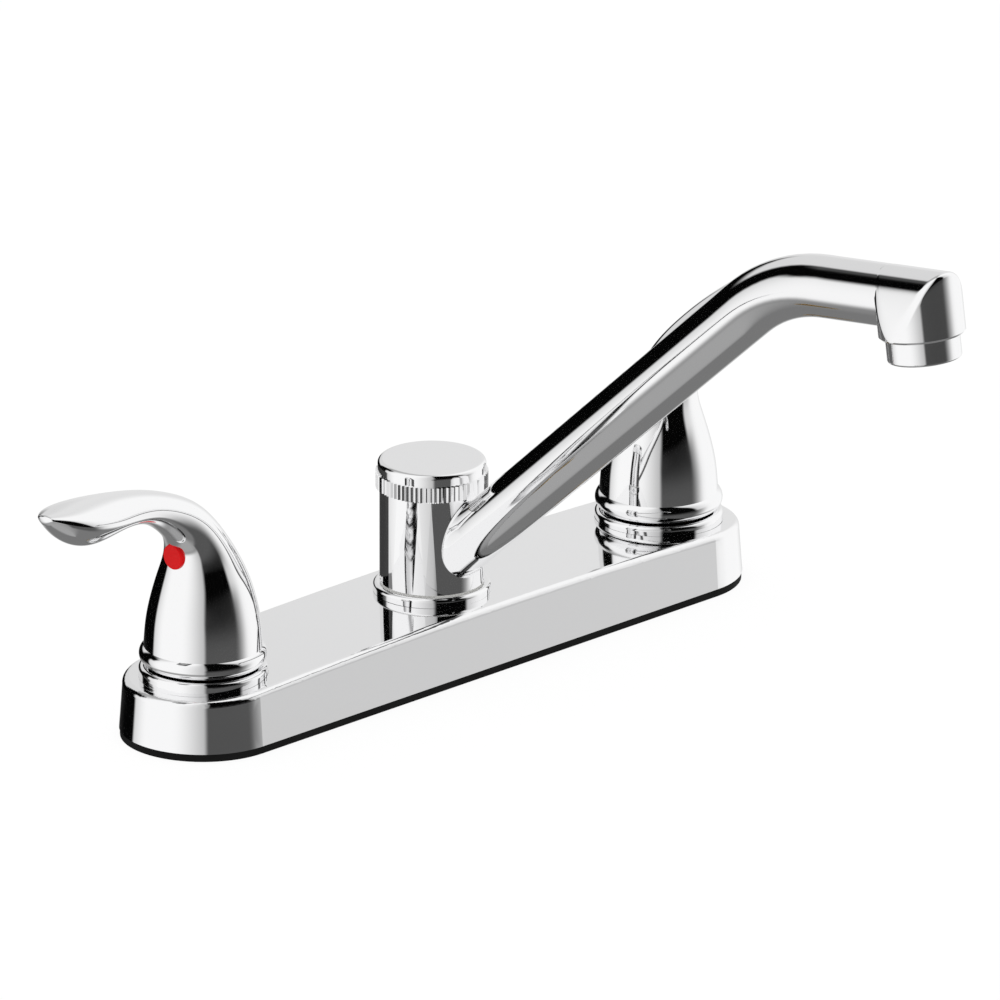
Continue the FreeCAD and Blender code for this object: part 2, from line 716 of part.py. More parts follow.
def make_cartridge(side):
    """The cartridge's housing: windowed skirt, flange, hexagon and stem guide."""
    body = new_body(f"{side}_cartridge")
    waist = "(cartridge_radius - waist_relief)"
    turn_profile(body, (
        ("foot_in", CARTRIDGE_INSIDE, SEAL_TOP),
        ("foot_out", "cartridge_radius", SEAL_TOP),
        ("waist_low", "cartridge_radius", f"{SEAL_TOP} + waist_band"),
        ("waist_in", waist, f"{SEAL_TOP} + waist_band + waist_slope"),
        ("waist_out", waist, STEM_FOOT_TOP),
        ("waist_high", "cartridge_radius", f"{STEM_FOOT_TOP} + waist_slope"),
        ("skirt_top", "cartridge_radius", NECK_TOP),
        ("flange_low", "neck_radius", NECK_TOP),
        ("flange_high", "neck_radius", HEX_BASE),
        ("guide_low", "guide_radius", HEX_BASE),
        ("guide_high", "guide_radius", GUIDE_TOP),
        ("guide_bore", STEM_BORE, GUIDE_TOP),
        ("shoulder_in", STEM_BORE, STEM_SHOULDER),
        ("shoulder_out", CARTRIDGE_INSIDE, STEM_SHOULDER),
    ))
    hexagon = new_sketch(body, "hexagon", "XY_Plane", HEX_BASE)
    draw_hexagon(hexagon, "cartridge_hex")
    draw_circle(hexagon, "guide", STEM_BORE)
    extrude(body, "Pad", hexagon, "cartridge_hex_height")
    window = new_sketch(body, "window", "YZ_Plane")
    top = f"({STEM_FOOT_TOP} - waist_slope)"
    draw_rectangle(window, "window", "-window_half_width", "window_half_width", FIXED_DISC_TOP, top)
    extrude(body, "Pocket", window, "2 * (cartridge_radius + overrun)", both=True)
    place_side(body, side)
    return body


def make_stem(side):
    """The stem: a foot with a driving tongue, an o-ring groove and a top with two flats."""
    body = new_body(f"{side}_stem")
    turn_profile(body, (
        ("foot_centre", "0", TURNING_DISC_TOP),
        ("foot_low", DISC_RADIUS, TURNING_DISC_TOP),
        ("foot_high", DISC_RADIUS, STEM_FOOT_TOP),
        ("shaft_low", "stem_radius", STEM_FOOT_TOP),
        *groove_corners("groove", "stem_radius", STEM_SEAL_LEVEL),
        ("shaft_high", "stem_radius", STEM_TOP),
        ("shaft_centre", "0", STEM_TOP),
    ))
    tongue = new_sketch(body, "tongue", "XY_Plane", TURNING_DISC_TOP)
    half = "tongue_half_width"
    draw_rectangle(tongue, "tongue", "-tongue_reach", "tongue_reach", f"-{half}", half)
    extrude(body, "Pad", tongue, "tongue_depth", reverse=True)
    flats = new_sketch(body, "flats", "XY_Plane", HOLLOW_TOP)
    side_reach = "(2 * stem_radius)"
    draw_rectangle(flats, "outer", "stem_flat", side_reach, f"-{side_reach}", side_reach)
    draw_rectangle(flats, "inner", f"-{side_reach}", "-stem_flat", f"-{side_reach}", side_reach)
    extrude(body, "Pocket", flats, "stem_socket_depth + overrun", reverse=True)
    place_side(body, side)
    return body


def add_o_ring(body, name, shaft_radius, level):
    """An o-ring that lies in its groove in a shaft and stands a little proud of it."""
    sketch = new_sketch(body, name, "XZ_Plane")
    middle = f"({shaft_radius} + o_ring_squeeze - o_ring_thickness / 2)"
    draw_circle(sketch, name, "o_ring_thickness / 2", middle, level)
    turn_sketch(body, sketch, "Revolution", name)


def make_stem_o_ring(side):
    body = new_body(f"{side}_stem_o_ring")
    add_o_ring(body, "ring", "stem_radius", STEM_SEAL_LEVEL)
    place_side(body, side)
    return body


def make_base_ring(side):
    """The dished ring between plate and handle, with a rounded upper edge."""
    body = new_body(f"{side}_base_ring")
    inside = "(neck_radius + neck_clearance)"
    turn_profile(body, (
        ("hub_low", inside, f"{RING_TOP} - ring_wall"),
        ("rim_high_in", "ring_radius - ring_rim", f"{RING_TOP} - ring_wall"),
        ("rim_low_in", "ring_radius - ring_rim", RING_SEAT),
        ("rim_low", "ring_radius", RING_SEAT),
        ("rim_side", "ring_radius", f"{RING_TOP} - ring_bead", "ring_bead"),
        ("rim_top", "ring_radius - ring_bead", RING_TOP),
        ("hub_top", inside, RING_TOP),
    ))
    place_side(body, side)
    return body


def make_collar_nut(side):
    body = new_body(f"{side}_collar_nut")
    sketch = new_sketch(body, "hexagon", "XY_Plane", RING_TOP)
    draw_hexagon(sketch, "collar_nut_width")
    draw_circle(sketch, "bore", "(neck_radius + thread_gap)")
    extrude(body, "Pad", sketch, "collar_nut_height")
    place_side(body, side)
    return body


# ---------------------------------------------------------------- handles


def section_sketch(body, name):
    """An egg-shaped loft section: half an ellipse to the back and half to the front."""
    def size(kind):
        return f"{name}_{kind}"

    sketch = body.newObject("Sketcher::SketchObject", f"{body.Name}_{name}")
    sketch.AttachmentSupport = (origin_plane(body, "YZ_Plane"), "")
    sketch.MapMode = "FlatFace"
    up = f"({HANDLE_FOOT} + {size('up')})"
    tilt_back = f"90 - {size('tilt')}"
    turn = FreeCAD.Rotation(FreeCAD.Vector(-1, 0, 0), value(tilt_back))
    sketch.AttachmentOffset = FreeCAD.Placement(FreeCAD.Vector(0, value(up), value(size("out"))), turn)
    bind(sketch, "AttachmentOffset.Base.y", up)
    bind(sketch, "AttachmentOffset.Base.z", size("out"))
    bind(sketch, "AttachmentOffset.Rotation.Angle", tilt_back)
    for kind, start in (("back", 0), ("front", math.pi)):
        half_ellipse(sketch, kind, size("half_width"), size(kind), start)
    return sketch


def half_ellipse(sketch, name, half_width, depth, start):
    wide, deep = value(half_width), value(depth)
    round_section = wide <= deep
    ends = (start, start + math.pi)
    if round_section:
        circle = Part.Circle(FreeCAD.Vector(), FreeCAD.Vector(0, 0, 1), wide)
        shape = Part.ArcOfCircle(circle, *ends)
    else:
        shape = Part.ArcOfEllipse(Part.Ellipse(FreeCAD.Vector(), wide, deep), *ends)
    arc = sketch.addGeometry(shape, False)
    sketch.addConstraint(Sketcher.Constraint("Coincident", arc, 3, -1, 1))
    sketch.addConstraint(Sketcher.Constraint("PointOnObject", arc, 1, -1))
    sketch.addConstraint(Sketcher.Constraint("PointOnObject", arc, 2, -1))
    if round_section:
        size_constraint(sketch, "Radius", f"{name}_radius", half_width, arc)
        return
    sketch.exposeInternalGeometry(arc)
    sketch.addConstraint(Sketcher.Constraint("Horizontal", arc + 1))
    size_constraint(sketch, "Distance", f"{name}_width", f"2 * {half_width}", arc + 1)
    size_constraint(sketch, "Distance", f"{name}_depth", f"2 * {depth}", arc + 2)


def make_handle(side):
    """Bell and lever in one loft, on a rounded bead, hollowed from below for the valve's neck."""
    body = new_body(f"{side}_handle")
    bead_top = f"({HANDLE_FOOT} + bead_height)"
    bead_edge = "(bead_radius - bead_bulge)"
    bead_round = "(((bead_height / 2) ^ 2 + bead_bulge ^ 2) / (2 * bead_bulge))"
    turn_profile(body, (
        ("centre_low", "0", HANDLE_FOOT),
        ("foot", bead_edge, HANDLE_FOOT, bead_round),
        ("crown", bead_edge, bead_top),
        ("centre_high", "0", bead_top),
    ), name="bead")
    sketches = [section_sketch(body, name) for name, *_ in HANDLE_SECTIONS]
    loft = feature(body, "AdditiveLoft", "sweep")
    loft.Profile = sketches[0]
    loft.Sections = sketches[1:]
    refresh(*sketches, loft)
    cut_bell_hollow(body)
    cut_stem_socket(body)
    cut_button_hole(body)
    place_side(body, side)
    return body


def cut_bell_hollow(body):
    mouth = "(bell_foot_half_width - bell_wall)"
    turn_profile(body, (
        ("centre_low", "0", HANDLE_FOOT),
        ("mouth", mouth, HANDLE_FOOT),
        ("straight", f"({mouth} - hollow_taper)", f"({HANDLE_FOOT} + hollow_straight)"),
        ("top", "hollow_top_radius", HOLLOW_TOP),
        ("centre_high", "0", HOLLOW_TOP),
    ), kind="Groove", name="hollow")


def cut_stem_socket(body):
    """The socket with two flats that takes the top of the stem."""
    socket = new_sketch(body, "socket", "XY_Plane", HOLLOW_TOP)
    flat = "(stem_flat + stem_fit)"
    edge = f"sqrt({STEM_BORE} ^ 2 - {flat} ^ 2)"
    draw(socket, (
        ("outer_high", flat, edge, STEM_BORE),
        ("inner_high", f"-{flat}", edge),
        ("inner_low", f"-{flat}", f"-{edge}", STEM_BORE),
        ("outer_low", flat, f"-{edge}"),
    ))
    extrude(body, "Pocket", socket, "stem_socket_depth + free_gap", reverse=True)


def cut_button_hole(body):
    """The screw's hole, level and straight out from the stem, with the button's recess."""
    drill = new_sketch(body, "drill", "YZ_Plane", "0")
    draw_circle(drill, "drill", "screw_radius", "0", BUTTON_LEVEL)
    extrude(body, "Pocket", drill, BUTTON_BACK, reverse=True)
    recess = new_sketch(body, "recess", "YZ_Plane", BUTTON_BACK)
    draw_circle(recess, "recess", "(button_radius + button_fit)", "0", BUTTON_LEVEL)
    extrude(body, "Pocket", recess, "2 * button_thickness", reverse=True)


def make_index_button(side):
    """The coloured button that covers the screw's hole, with a rounded edge."""
    body = new_body(f"{side}_index_button")
    sketch = new_sketch(body, "face", "YZ_Plane", BUTTON_BACK)
    draw_circle(sketch, "face", "button_radius", "0", BUTTON_LEVEL)
    disc = extrude(body, "Pad", sketch, "button_thickness")
    middle = value("button_face") - value("button_thickness") / 2
    round_edges(body, disc, "button_round", lambda edge: edge.BoundBox.XMin > middle)
    place_side(body, side)
    return body


def make_handle_screw(side):
    """A grub screw with a hexagon socket, tight against the stem's outer flat."""
    body = new_body(f"{side}_handle_screw")
    sketch = new_sketch(body, "shank", "YZ_Plane", SCREW_START)
    draw_circle(sketch, "shank", "(screw_radius - thread_gap)", "0", BUTTON_LEVEL)
    extrude(body, "Pad", sketch, "screw_length")
    key = new_sketch(body, "key", "YZ_Plane", f"({SCREW_START} + screw_length - screw_key_depth)")
    draw_hexagon(key, "screw_key", BUTTON_LEVEL)
    extrude(body, "Pocket", key, "screw_key_depth", reverse=True)
    place_side(body, side)
    return body


# ---------------------------------------------------------------- mounting hardware


def make_mounting_washer(side):
    body = new_body(f"{side}_mounting_washer")
    inside = "(shank_radius + thread_gap)"
    foot = "(-deck_thickness - washer_thickness)"
    turn_profile(body, ring_profile(inside, "washer_radius", foot, "-deck_thickness"))
    place_side(body, side)
    return body


def make_mounting_nut(side):
    """A round nut with four wings for turning it by hand."""
    body = new_body(f"{side}_mounting_nut")
    top = "(-deck_thickness - washer_thickness)"
    foot = f"({top} - mounting_nut_height)"
    turn_profile(body, ring_profile("(shank_radius + thread_gap)", "mounting_nut_radius", foot, top))
    wing = new_sketch(body, "wing", "XY_Plane", foot)
    inner = "((shank_radius + mounting_nut_radius) / 2)"
    draw_rectangle(wing, "wing", inner, "wing_reach", "-wing_thickness / 2", "wing_thickness / 2")
    repeat_round(body, extrude(body, "Pad", wing, "wing_height"), "4")
    place_side(body, side)
    return body


# ---------------------------------------------------------------- spout post, rings and nut


def make_spout_post():
    """The centre piece: flange, barrel with two ports, and the post that the spout turns on."""
    body = new_body("spout_post")
    turn_profile(body, (
        ("flange_centre", "0", "gasket_thickness"),
        ("flange_low", "flange_radius", "gasket_thickness"),
        ("flange_high", "flange_radius", FLANGE_TOP),
        ("barrel_low", "barrel_radius", FLANGE_TOP),
        ("barrel_high", "barrel_radius", CEILING),
        ("neck_low", "post_neck_radius", CEILING),
        ("neck_high", "post_neck_radius", HUB_RING_TOP),
        ("post_low", "post_radius", HUB_RING_TOP),
        *groove_corners("low_groove", "post_radius", LOW_SEAL),
        ("waist_foot", "post_radius", WAIST_FOOT),
        ("waist_foot_in", "(post_radius - post_waist)", WAIST_FOOT),
        ("waist_top_in", "(post_radius - post_waist)", WAIST_TOP),
        ("waist_top", "post_radius", WAIST_TOP),
        *groove_corners("high_groove", "post_radius", HIGH_SEAL),
        ("post_high", "post_radius", SLEEVE_TOP),
        ("thread_low", "thread_radius", SLEEVE_TOP),
        ("thread_high", "thread_radius", POST_TOP),
        ("thread_centre", "0", POST_TOP),
    ))
    cut_disc(body, "bore", "post_bore", "(crossover_height - crossover_radius)", WAIST_TOP)
    cut_port(body, "-(barrel_radius + overrun)", "(barrel_radius + overrun)")
    window = new_sketch(body, "window", "YZ_Plane", "0")
    draw_circle(window, "window", "post_window_radius", "0", "spout_root_height")
    through = extrude(body, "Pocket", window, "(post_radius + overrun)", reverse=True)
    repeat_round(body, through, "4")
    return body


def make_spout_o_rings():
    body = new_body("spout_o_rings")
    add_o_ring(body, "low", "post_radius", LOW_SEAL)
    add_o_ring(body, "high", "post_radius", HIGH_SEAL)
    return body


def make_spout_base_ring():
    body = new_body("spout_base_ring")
    inside = "(post_neck_radius + thread_gap)"
    turn_profile(body, (
        ("low_in", inside, PLATE_TOP),
        ("low_out", "hub_ring_radius", PLATE_TOP),
        ("side", "hub_ring_radius", f"{HUB_RING_TOP} - hub_ring_round", "hub_ring_round"),
        ("top_out", "(hub_ring_radius - hub_ring_round)", HUB_RING_TOP),
        ("top_in", inside, HUB_RING_TOP),
    ))
    return body


def make_bearing_ring():
    body = new_body("spout_bearing_ring")
    outside = "(sleeve_radius - free_gap)"
    turn_profile(body, ring_profile(SLEEVE_BORE, outside, HUB_RING_TOP, SLEEVE_FOOT))
    return body


def make_spout_nut():
    """The cap nut that holds the spout down: knurled band, smooth cap and flat top."""
    body = new_body("spout_nut")
    knurl_top = f"({NUT_FOOT} + knurl_height)"
    turn_profile(body, (
        ("roof_centre", "0", f"{POST_TOP} + free_gap"),
        ("roof_edge", "(thread_radius + thread_gap)", f"{POST_TOP} + free_gap"),
        ("mouth", "(thread_radius + thread_gap)", NUT_FOOT),
        ("knurl_low", "knurl_radius", NUT_FOOT),
        ("knurl_high", "knurl_radius", knurl_top),
        ("cap_low", "nut_cap_radius", knurl_top),
        ("cap_side", "nut_cap_radius", f"{NUT_TOP} - nut_edge_radius", "nut_edge_radius"),
        ("cap_edge", "(nut_cap_radius - nut_edge_radius)", NUT_TOP),
        ("cap_centre", "0", NUT_TOP),
    ))
    notch = new_sketch(body, "notch", "XY_Plane", NUT_FOOT)
    half_width = "(knurl_radius * sin(180 / knurl_count) * knurl_share)"
    draw(notch, (
        ("root", "(knurl_radius - knurl_depth)", "0"),
        ("low", "knurl_radius", f"-{half_width}"),
        ("high", "knurl_radius", half_width),
    ))
    repeat_round(body, extrude(body, "Pocket", notch, "knurl_height", reverse=True), "knurl_count")
    return body


# ---------------------------------------------------------------- spout


def section_plane(body, name, reach, height, rise):
    """A sketch square to the spout's middle line, with its zero at reach and height."""
    sketch = body.newObject("Sketcher::SketchObject", f"{body.Name}_{name}")
    sketch.AttachmentSupport = (origin_plane(body, "XZ_Plane"), "")
    sketch.MapMode = "FlatFace"
    turn = FreeCAD.Rotation(FreeCAD.Vector(-1, 0, 0), value(rise))
    sketch.AttachmentOffset = FreeCAD.Placement(FreeCAD.Vector(0, value(height), value(reach)), turn)
    bind(sketch, "AttachmentOffset.Base.y", height)
    bind(sketch, "AttachmentOffset.Base.z", reach)
    bind(sketch, "AttachmentOffset.Rotation.Angle", rise)
    return sketch


def profile_plane(body, name, reach, height, lean, forward=True):
    """A half-profile sketch in the spout's plane, with its V axis leaning from upright."""
    sketch = body.newObject("Sketcher::SketchObject", f"{body.Name}_{name}")
    sketch.AttachmentSupport = (origin_plane(body, "YZ_Plane"), "")
    sketch.MapMode = "FlatFace"
    turn = FreeCAD.Rotation(FreeCAD.Vector(0, 0, 1 if forward else -1), value(lean))
    sketch.AttachmentOffset = FreeCAD.Placement(FreeCAD.Vector(-value(reach), value(height), 0), turn)
    bind(sketch, "AttachmentOffset.Base.x", f"-{reach}")
    bind(sketch, "AttachmentOffset.Base.y", height)
    bind(sketch, "AttachmentOffset.Rotation.Angle", lean)
    return sketch


def turn_run(body, kind, name, rise, start, finish):
    """Turns one straight run of the tube, from (radius, place) to (radius, place) along it.

    A place is measured along the run from the bend's corner.
    """
    sketch = profile_plane(body, name, "spout_bend_reach", BEND_HEIGHT, f"(90 - {rise})")
    turn_profile(body, (
        ("start_centre", "0", start[1]),
        ("start", *start),
        ("finish", *finish),
        ("finish_centre", "0", finish[1]),
    ), kind, name, sketch)


def turn_tube(body, kind, name, start_reach, wall="0"):
    """Rising run, bend and end run in one line, as a Revolution or Groove of each."""
    root, bend, end = (f"({size} - {wall})" for size in TUBE_RADII)
    start = f"(-(spout_bend_reach - {start_reach}) / cos(spout_rise))"
    turn_run(body, kind, f"{name}end", "spout_end_rise", (bend, BEND_TANGENT), (end, END_RUN))
    section = section_plane(body, f"{name}bend", BEND_CENTRE_REACH, BEND_CENTRE_HEIGHT, "spout_rise")
    draw_circle(section, "section", bend, "0", "spout_bend_radius")
    turn_sketch(body, section, kind, f"{name}bend", "H_Axis", "(spout_rise - spout_end_rise)")
    turn_run(body, kind, f"{name}rise", "spout_rise", (root, start), (bend, f"-{BEND_TANGENT}"))


def turn_nose(body, name, corners, kind="Revolution"):
    """Turns a half profile about the nose's axis, with zero on the tube's middle line."""
    lean = "spout_end_rise"
    sketch = profile_plane(body, name, "spout_reach", NOSE_HEIGHT, lean, forward=False)
    return turn_profile(body, corners, kind, name, sketch)


def shape_nose_top(body):
    """Cuts the nose's top to a rounded ridge in line with the tube, and rounds its rim."""
    ridge = section_plane(body, "ridge", "spout_reach", NOSE_HEIGHT, "spout_end_rise")
    across, high = "(nose_radius + overrun)", "(2 * nose_radius)"
    bend_x = "(nose_crest_radius * sin(nose_top_slope))"
    bend_y = f"({NOSE_CREST} - nose_crest_radius * (1 - cos(nose_top_slope)))"
    low = f"({bend_y} - ({across} - {bend_x}) * tan(nose_top_slope))"
    draw(ridge, (
        ("left_low", f"-{across}", low),
        ("left_high", f"-{across}", high),
        ("right_high", across, high),
        ("right_low", across, low),
        ("right_bend", bend_x, bend_y, "nose_crest_radius"),
        ("left_bend", f"-{bend_x}", bend_y),
    ))
    cut = extrude(body, "Pocket", ridge, f"2 * {across}", both=True)
    foot = value(NOSE_HEIGHT)
    round_edges(body, cut, "nose_edge_radius", lambda edge: is_rim(edge, foot), "rim")


def is_rim(edge, foot):
    """True for the edges in which the nose's ridge meets its round wall."""
    box = edge.BoundBox
    return box.ZMin > foot and min(box.XLength, box.YLength) > value("nose_edge_radius") / 2


def make_spout():
    """Sleeve, bent tapering tube and nose, brazed into one piece with a passage through it."""
    body = new_body("spout")
    turn_nose(body, "nose", (
        ("top_centre", "0", f"({NOSE_CREST} + overrun)"),
        ("foot_centre", "0", "-nose_drop"),
        ("foot_edge", "(nose_radius - nose_rim_chamfer)", "-nose_drop"),
        ("rim", "nose_radius", "(nose_rim_chamfer - nose_drop)"),
        ("top_edge", "nose_radius", f"({NOSE_CREST} + overrun)"),
    ))
    shape_nose_top(body)
    turn_tube(body, "Revolution", "tube", "tube_start")
    sleeve = add_disc(body, "sleeve", "sleeve_radius", SLEEVE_FOOT, SLEEVE_TOP)
    root = tube_joints(sleeve.Shape, at_nose=False)
    rounded = round_edges(body, sleeve, "root_fillet", lambda edge: is_among(edge, root), "rootround")
    joint = tube_joints(rounded.Shape, at_nose=True)
    round_edges(body, rounded, "nose_fillet", lambda edge: is_among(edge, joint), "noseround")
    cut_disc(body, "bore", SLEEVE_BORE, SLEEVE_FOOT, SLEEVE_TOP)
    turn_tube(body, "Groove", "passage", "passage_start", "tube_wall")
    port = new_sketch(body, "port", "XZ_Plane")
    draw_circle(port, "port", "spout_port_radius", "0", "spout_root_height")
    extrude(body, "Pocket", port, PORT_DEPTH, reverse=True)
    turn_nose(body, "outlet", (
        ("roof_centre", "0", "outlet_roof"),
        ("roof_edge", "outlet_radius", "outlet_roof"),
        ("seat_in", "outlet_radius", AERATOR_SEAT),
        ("seat_out", "aerator_bore_radius", AERATOR_SEAT),
        ("mouth_edge", "aerator_bore_radius", "-nose_drop"),
        ("mouth_centre", "0", "-nose_drop"),
    ), "Groove")
    return body


def tube_joints(shape, at_nose):
    """The edges in which the tapering tube runs into the nose, or into the sleeve."""
    cones = [face for face in shape.Faces if isinstance(face.Surface, Part.Cone)]
    edges = [edge for cone in cones for edge in cone.Edges if isinstance(edge.Curve, Part.BSplineCurve)]
    bend = -value("spout_bend_reach")
    return [edge for edge in edges if (edge.BoundBox.YMax < bend) == at_nose]


def is_among(edge, edges):
    return any(edge.isSame(other) for other in edges)


# ---------------------------------------------------------------- aerator


def place_nose(body):
    """Stands a body on the nose's axis, with its own zero on the tube's middle line."""
    centre = FreeCAD.Vector(0, -value("spout_reach"), value(NOSE_HEIGHT))
    turn = FreeCAD.Rotation(FreeCAD.Vector(-1, 0, 0), value("spout_end_rise"))
    body.Placement = FreeCAD.Placement(centre, turn)
    bind(body, "Placement.Base.y", "-spout_reach")
    bind(body, "Placement.Base.z", NOSE_HEIGHT)
    bind(body, "Placement.Rotation.Angle", "spout_end_rise")


def make_aerator_washer():
    body = new_body("aerator_washer")
    corners = ring_profile("outlet_radius", AERATOR_THREAD, WASHER_UNDERSIDE, AERATOR_SEAT)
    turn_profile(body, corners)
    place_nose(body)
    return body


def make_aerator_housing():
    body = new_body("aerator_housing")
    lip_radius = f"({AERATOR_INSIDE} - aerator_lip)"
    turn_profile(body, (
        ("thread_top_in", AERATOR_INSIDE, WASHER_UNDERSIDE),
        ("lip_top_out", AERATOR_INSIDE, INSERT_FOOT),
        ("lip_top", lip_radius, INSERT_FOOT),
        ("lip_foot", lip_radius, AERATOR_FOOT),
        ("foot", "(aerator_radius - aerator_edge_radius)", AERATOR_FOOT, "aerator_edge_radius"),
        ("side", "aerator_radius", f"({AERATOR_FOOT} + aerator_edge_radius)"),
        ("flange_top", "aerator_radius", AERATOR_FLANGE),
        ("thread_foot", AERATOR_THREAD, AERATOR_FLANGE),
        ("thread_top", AERATOR_THREAD, WASHER_UNDERSIDE),
    ))
    place_nose(body)
    return body


def make_aerator_insert():
    """The flow straightener: a cup with two rings of holes through its floor."""
    body = new_body("aerator_insert")
    floor = f"({INSERT_FOOT} + insert_thickness)"
    inside = f"({INSERT_RADIUS} - insert_wall)"
    rim = f"({WASHER_UNDERSIDE} - free_gap)"
    turn_profile(body, (
        ("foot_centre", "0", INSERT_FOOT),
        ("foot", INSERT_RADIUS, INSERT_FOOT),
        ("rim_out", INSERT_RADIUS, rim),
        ("rim_in", inside, rim),
        ("floor_edge", inside, floor),
        ("floor_centre", "0", floor),
    ))
    holes = new_sketch(body, "holes", "XY_Plane", INSERT_FOOT)
    draw_circle(holes, "inner", "insert_hole_radius", "insert_inner_ring")
    draw_circle(holes, "outer", "insert_hole_radius", "insert_outer_ring")
    drilled = extrude(body, "Pocket", holes, "insert_thickness", reverse=True)
    repeat_round(body, drilled, "insert_hole_count")
    place_nose(body)
    return body


# ---------------------------------------------------------------- build and export


SIDE_MAKERS = (
    make_valve_body,
    make_crossover_tube,
    make_seat_seal,
    make_fixed_disc,
    make_turning_disc,
    make_cartridge,
    make_stem,
    make_stem_o_ring,
    make_base_ring,
    make_collar_nut,
    make_handle,
    make_index_button,
    make_handle_screw,
    make_mounting_washer,
    make_mounting_nut,
)


MIDDLE_MAKERS = (
    make_deck_gasket,
    make_deck_plate,
    make_spout_post,
    make_spout_o_rings,
    make_spout_base_ring,
    make_bearing_ring,
    make_spout_nut,
    make_spout,
    make_aerator_washer,
    make_aerator_housing,
    make_aerator_insert,
)


def build():
    bodies = [make() for make in MIDDLE_MAKERS]
    for side in ("hot", "cold"):
        bodies += [make(side) for make in SIDE_MAKERS]
    doc.recompute()
    return bodies


# A pocket or groove that takes away less than this, in cubic millimetres, has missed its body.
SMALLEST_CUT = 0.01


def check(bodies):
    for item in doc.Objects:
        faults = [state for state in item.State if state in ("Invalid", "Error")]
        if faults:
            raise RuntimeError(f"{item.Name} is {faults}")
        cuts = item.TypeId in ("PartDesign::Pocket", "PartDesign::Groove")
        if cuts and item.Shape.Volume > item.BaseFeature.Shape.Volume - SMALLEST_CUT:
            raise RuntimeError(f"{item.Name} cuts nothing")
    for body in bodies:
        if body.Shape.isNull() or not body.Shape.isValid() or not body.Shape.Solids:
            raise RuntimeError(f"{body.Label} has no valid solid")


def export(bodies):
    os.makedirs("parts", exist_ok=True)
    for body in bodies:
        body.Shape.exportStep(f"parts/{body.Label}.step")


BODIES = build()
check(BODIES)
export(BODIES)
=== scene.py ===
import json
import math
from collections import namedtuple

import bmesh
import bpy
import numpy as np
from mathutils import Matrix, Vector


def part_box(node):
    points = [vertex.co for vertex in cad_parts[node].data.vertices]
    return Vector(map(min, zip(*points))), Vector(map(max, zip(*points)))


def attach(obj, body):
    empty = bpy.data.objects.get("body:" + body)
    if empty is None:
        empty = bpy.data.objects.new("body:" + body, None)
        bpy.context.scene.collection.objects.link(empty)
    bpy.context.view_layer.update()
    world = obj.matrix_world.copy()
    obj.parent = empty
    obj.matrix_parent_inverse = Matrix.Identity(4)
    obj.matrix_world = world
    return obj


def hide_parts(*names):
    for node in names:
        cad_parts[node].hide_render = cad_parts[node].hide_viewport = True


bl_info = {
    "name": "Two Handle Kitchen Faucet",
    "version": (1, 0, 0),
    "blender": (4, 5, 0),
    "location": "View3D > Sidebar > Faucet",
    "description": "Finishes and fine parts for a deck-mounted kitchen faucet",
    "category": "Object",
}

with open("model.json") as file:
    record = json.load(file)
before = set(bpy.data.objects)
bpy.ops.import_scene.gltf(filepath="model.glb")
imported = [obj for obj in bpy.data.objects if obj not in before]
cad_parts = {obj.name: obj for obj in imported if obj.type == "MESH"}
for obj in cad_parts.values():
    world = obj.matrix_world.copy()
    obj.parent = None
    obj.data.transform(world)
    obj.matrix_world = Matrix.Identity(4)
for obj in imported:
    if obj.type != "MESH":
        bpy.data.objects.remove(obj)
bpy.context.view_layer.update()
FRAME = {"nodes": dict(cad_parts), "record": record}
NODES = FRAME["nodes"]
SIDES = ("hot", "cold")
SLOTS = {part["node"]: part["material_slot"] for part in FRAME["record"]["subparts"]}
MM = 0.001
HALF_TURN = 180.0
STAND = Matrix.Rotation(math.radians(90), 4, "X")
SIDEWAYS = Matrix.Rotation(math.radians(90), 4, "Z")


# ---------------------------------------------------------------- settings


class FaucetStageSettings(bpy.types.PropertyGroup):
    azimuth: bpy.props.FloatProperty(
        name="Azimuth",
        description="Direction from the faucet to the camera, counted from the front to the hot side",
        default=math.radians(45), subtype="ANGLE",
    )
    elevation: bpy.props.FloatProperty(
        name="Elevation",
        description="Height of the camera above the level",
        default=math.radians(20), subtype="ANGLE",
    )
    distance: bpy.props.FloatProperty(
        name="Distance",
        description="Distance from the camera to the faucet",
        default=14.49, min=1.0, unit="LENGTH",
    )
    lens: bpy.props.FloatProperty(
        name="Lens",
        description="Focal length of the camera in millimetres",
        default=1650.0, min=50.0, max=2000.0,
    )
    aim: bpy.props.FloatVectorProperty(
        name="Aim",
        description="Point that the camera looks at",
        default=(0.02704, -0.00334, 0.0458), subtype="TRANSLATION", unit="LENGTH",
    )
    floor_size: bpy.props.FloatProperty(
        name="Floor size",
        description="Width of the pale floor",
        default=12.0, min=1.0, unit="LENGTH",
    )
    floor_shadow: bpy.props.FloatProperty(
        name="Floor shadow",
        description="How much of the shadow the white floor keeps",
        default=0.12, min=0.0, max=1.0, subtype="FACTOR",
    )
    ambient: bpy.props.FloatProperty(
        name="Ambient",
        description="Level of the even light on matt surfaces",
        default=0.8, min=0.0, max=2.0,
    )


class FaucetChromeSettings(bpy.types.PropertyGroup):
    colour: bpy.props.FloatVectorProperty(
        name="Chrome colour",
        description="Tint of the plated parts",
        default=(0.93, 0.93, 0.935), size=3, min=0.0, max=1.0, subtype="COLOR",
    )
    roughness: bpy.props.FloatProperty(
        name="Chrome roughness",
        description="Mean roughness of the polished plating",
        default=0.035, min=0.0, max=0.5, subtype="FACTOR",
    )


# ---------------------------------------------------------------- node helpers


NODE_SPACING = (200, -180)


def put(tree, kind, place=(0, 0), **values):
    """A new node at a column and row of the tree."""
    node = tree.nodes.new(kind)
    node.location = [step * space for step, space in zip(place, NODE_SPACING)]
    for name, value in values.items():
        setattr(node, name, value)
    return node


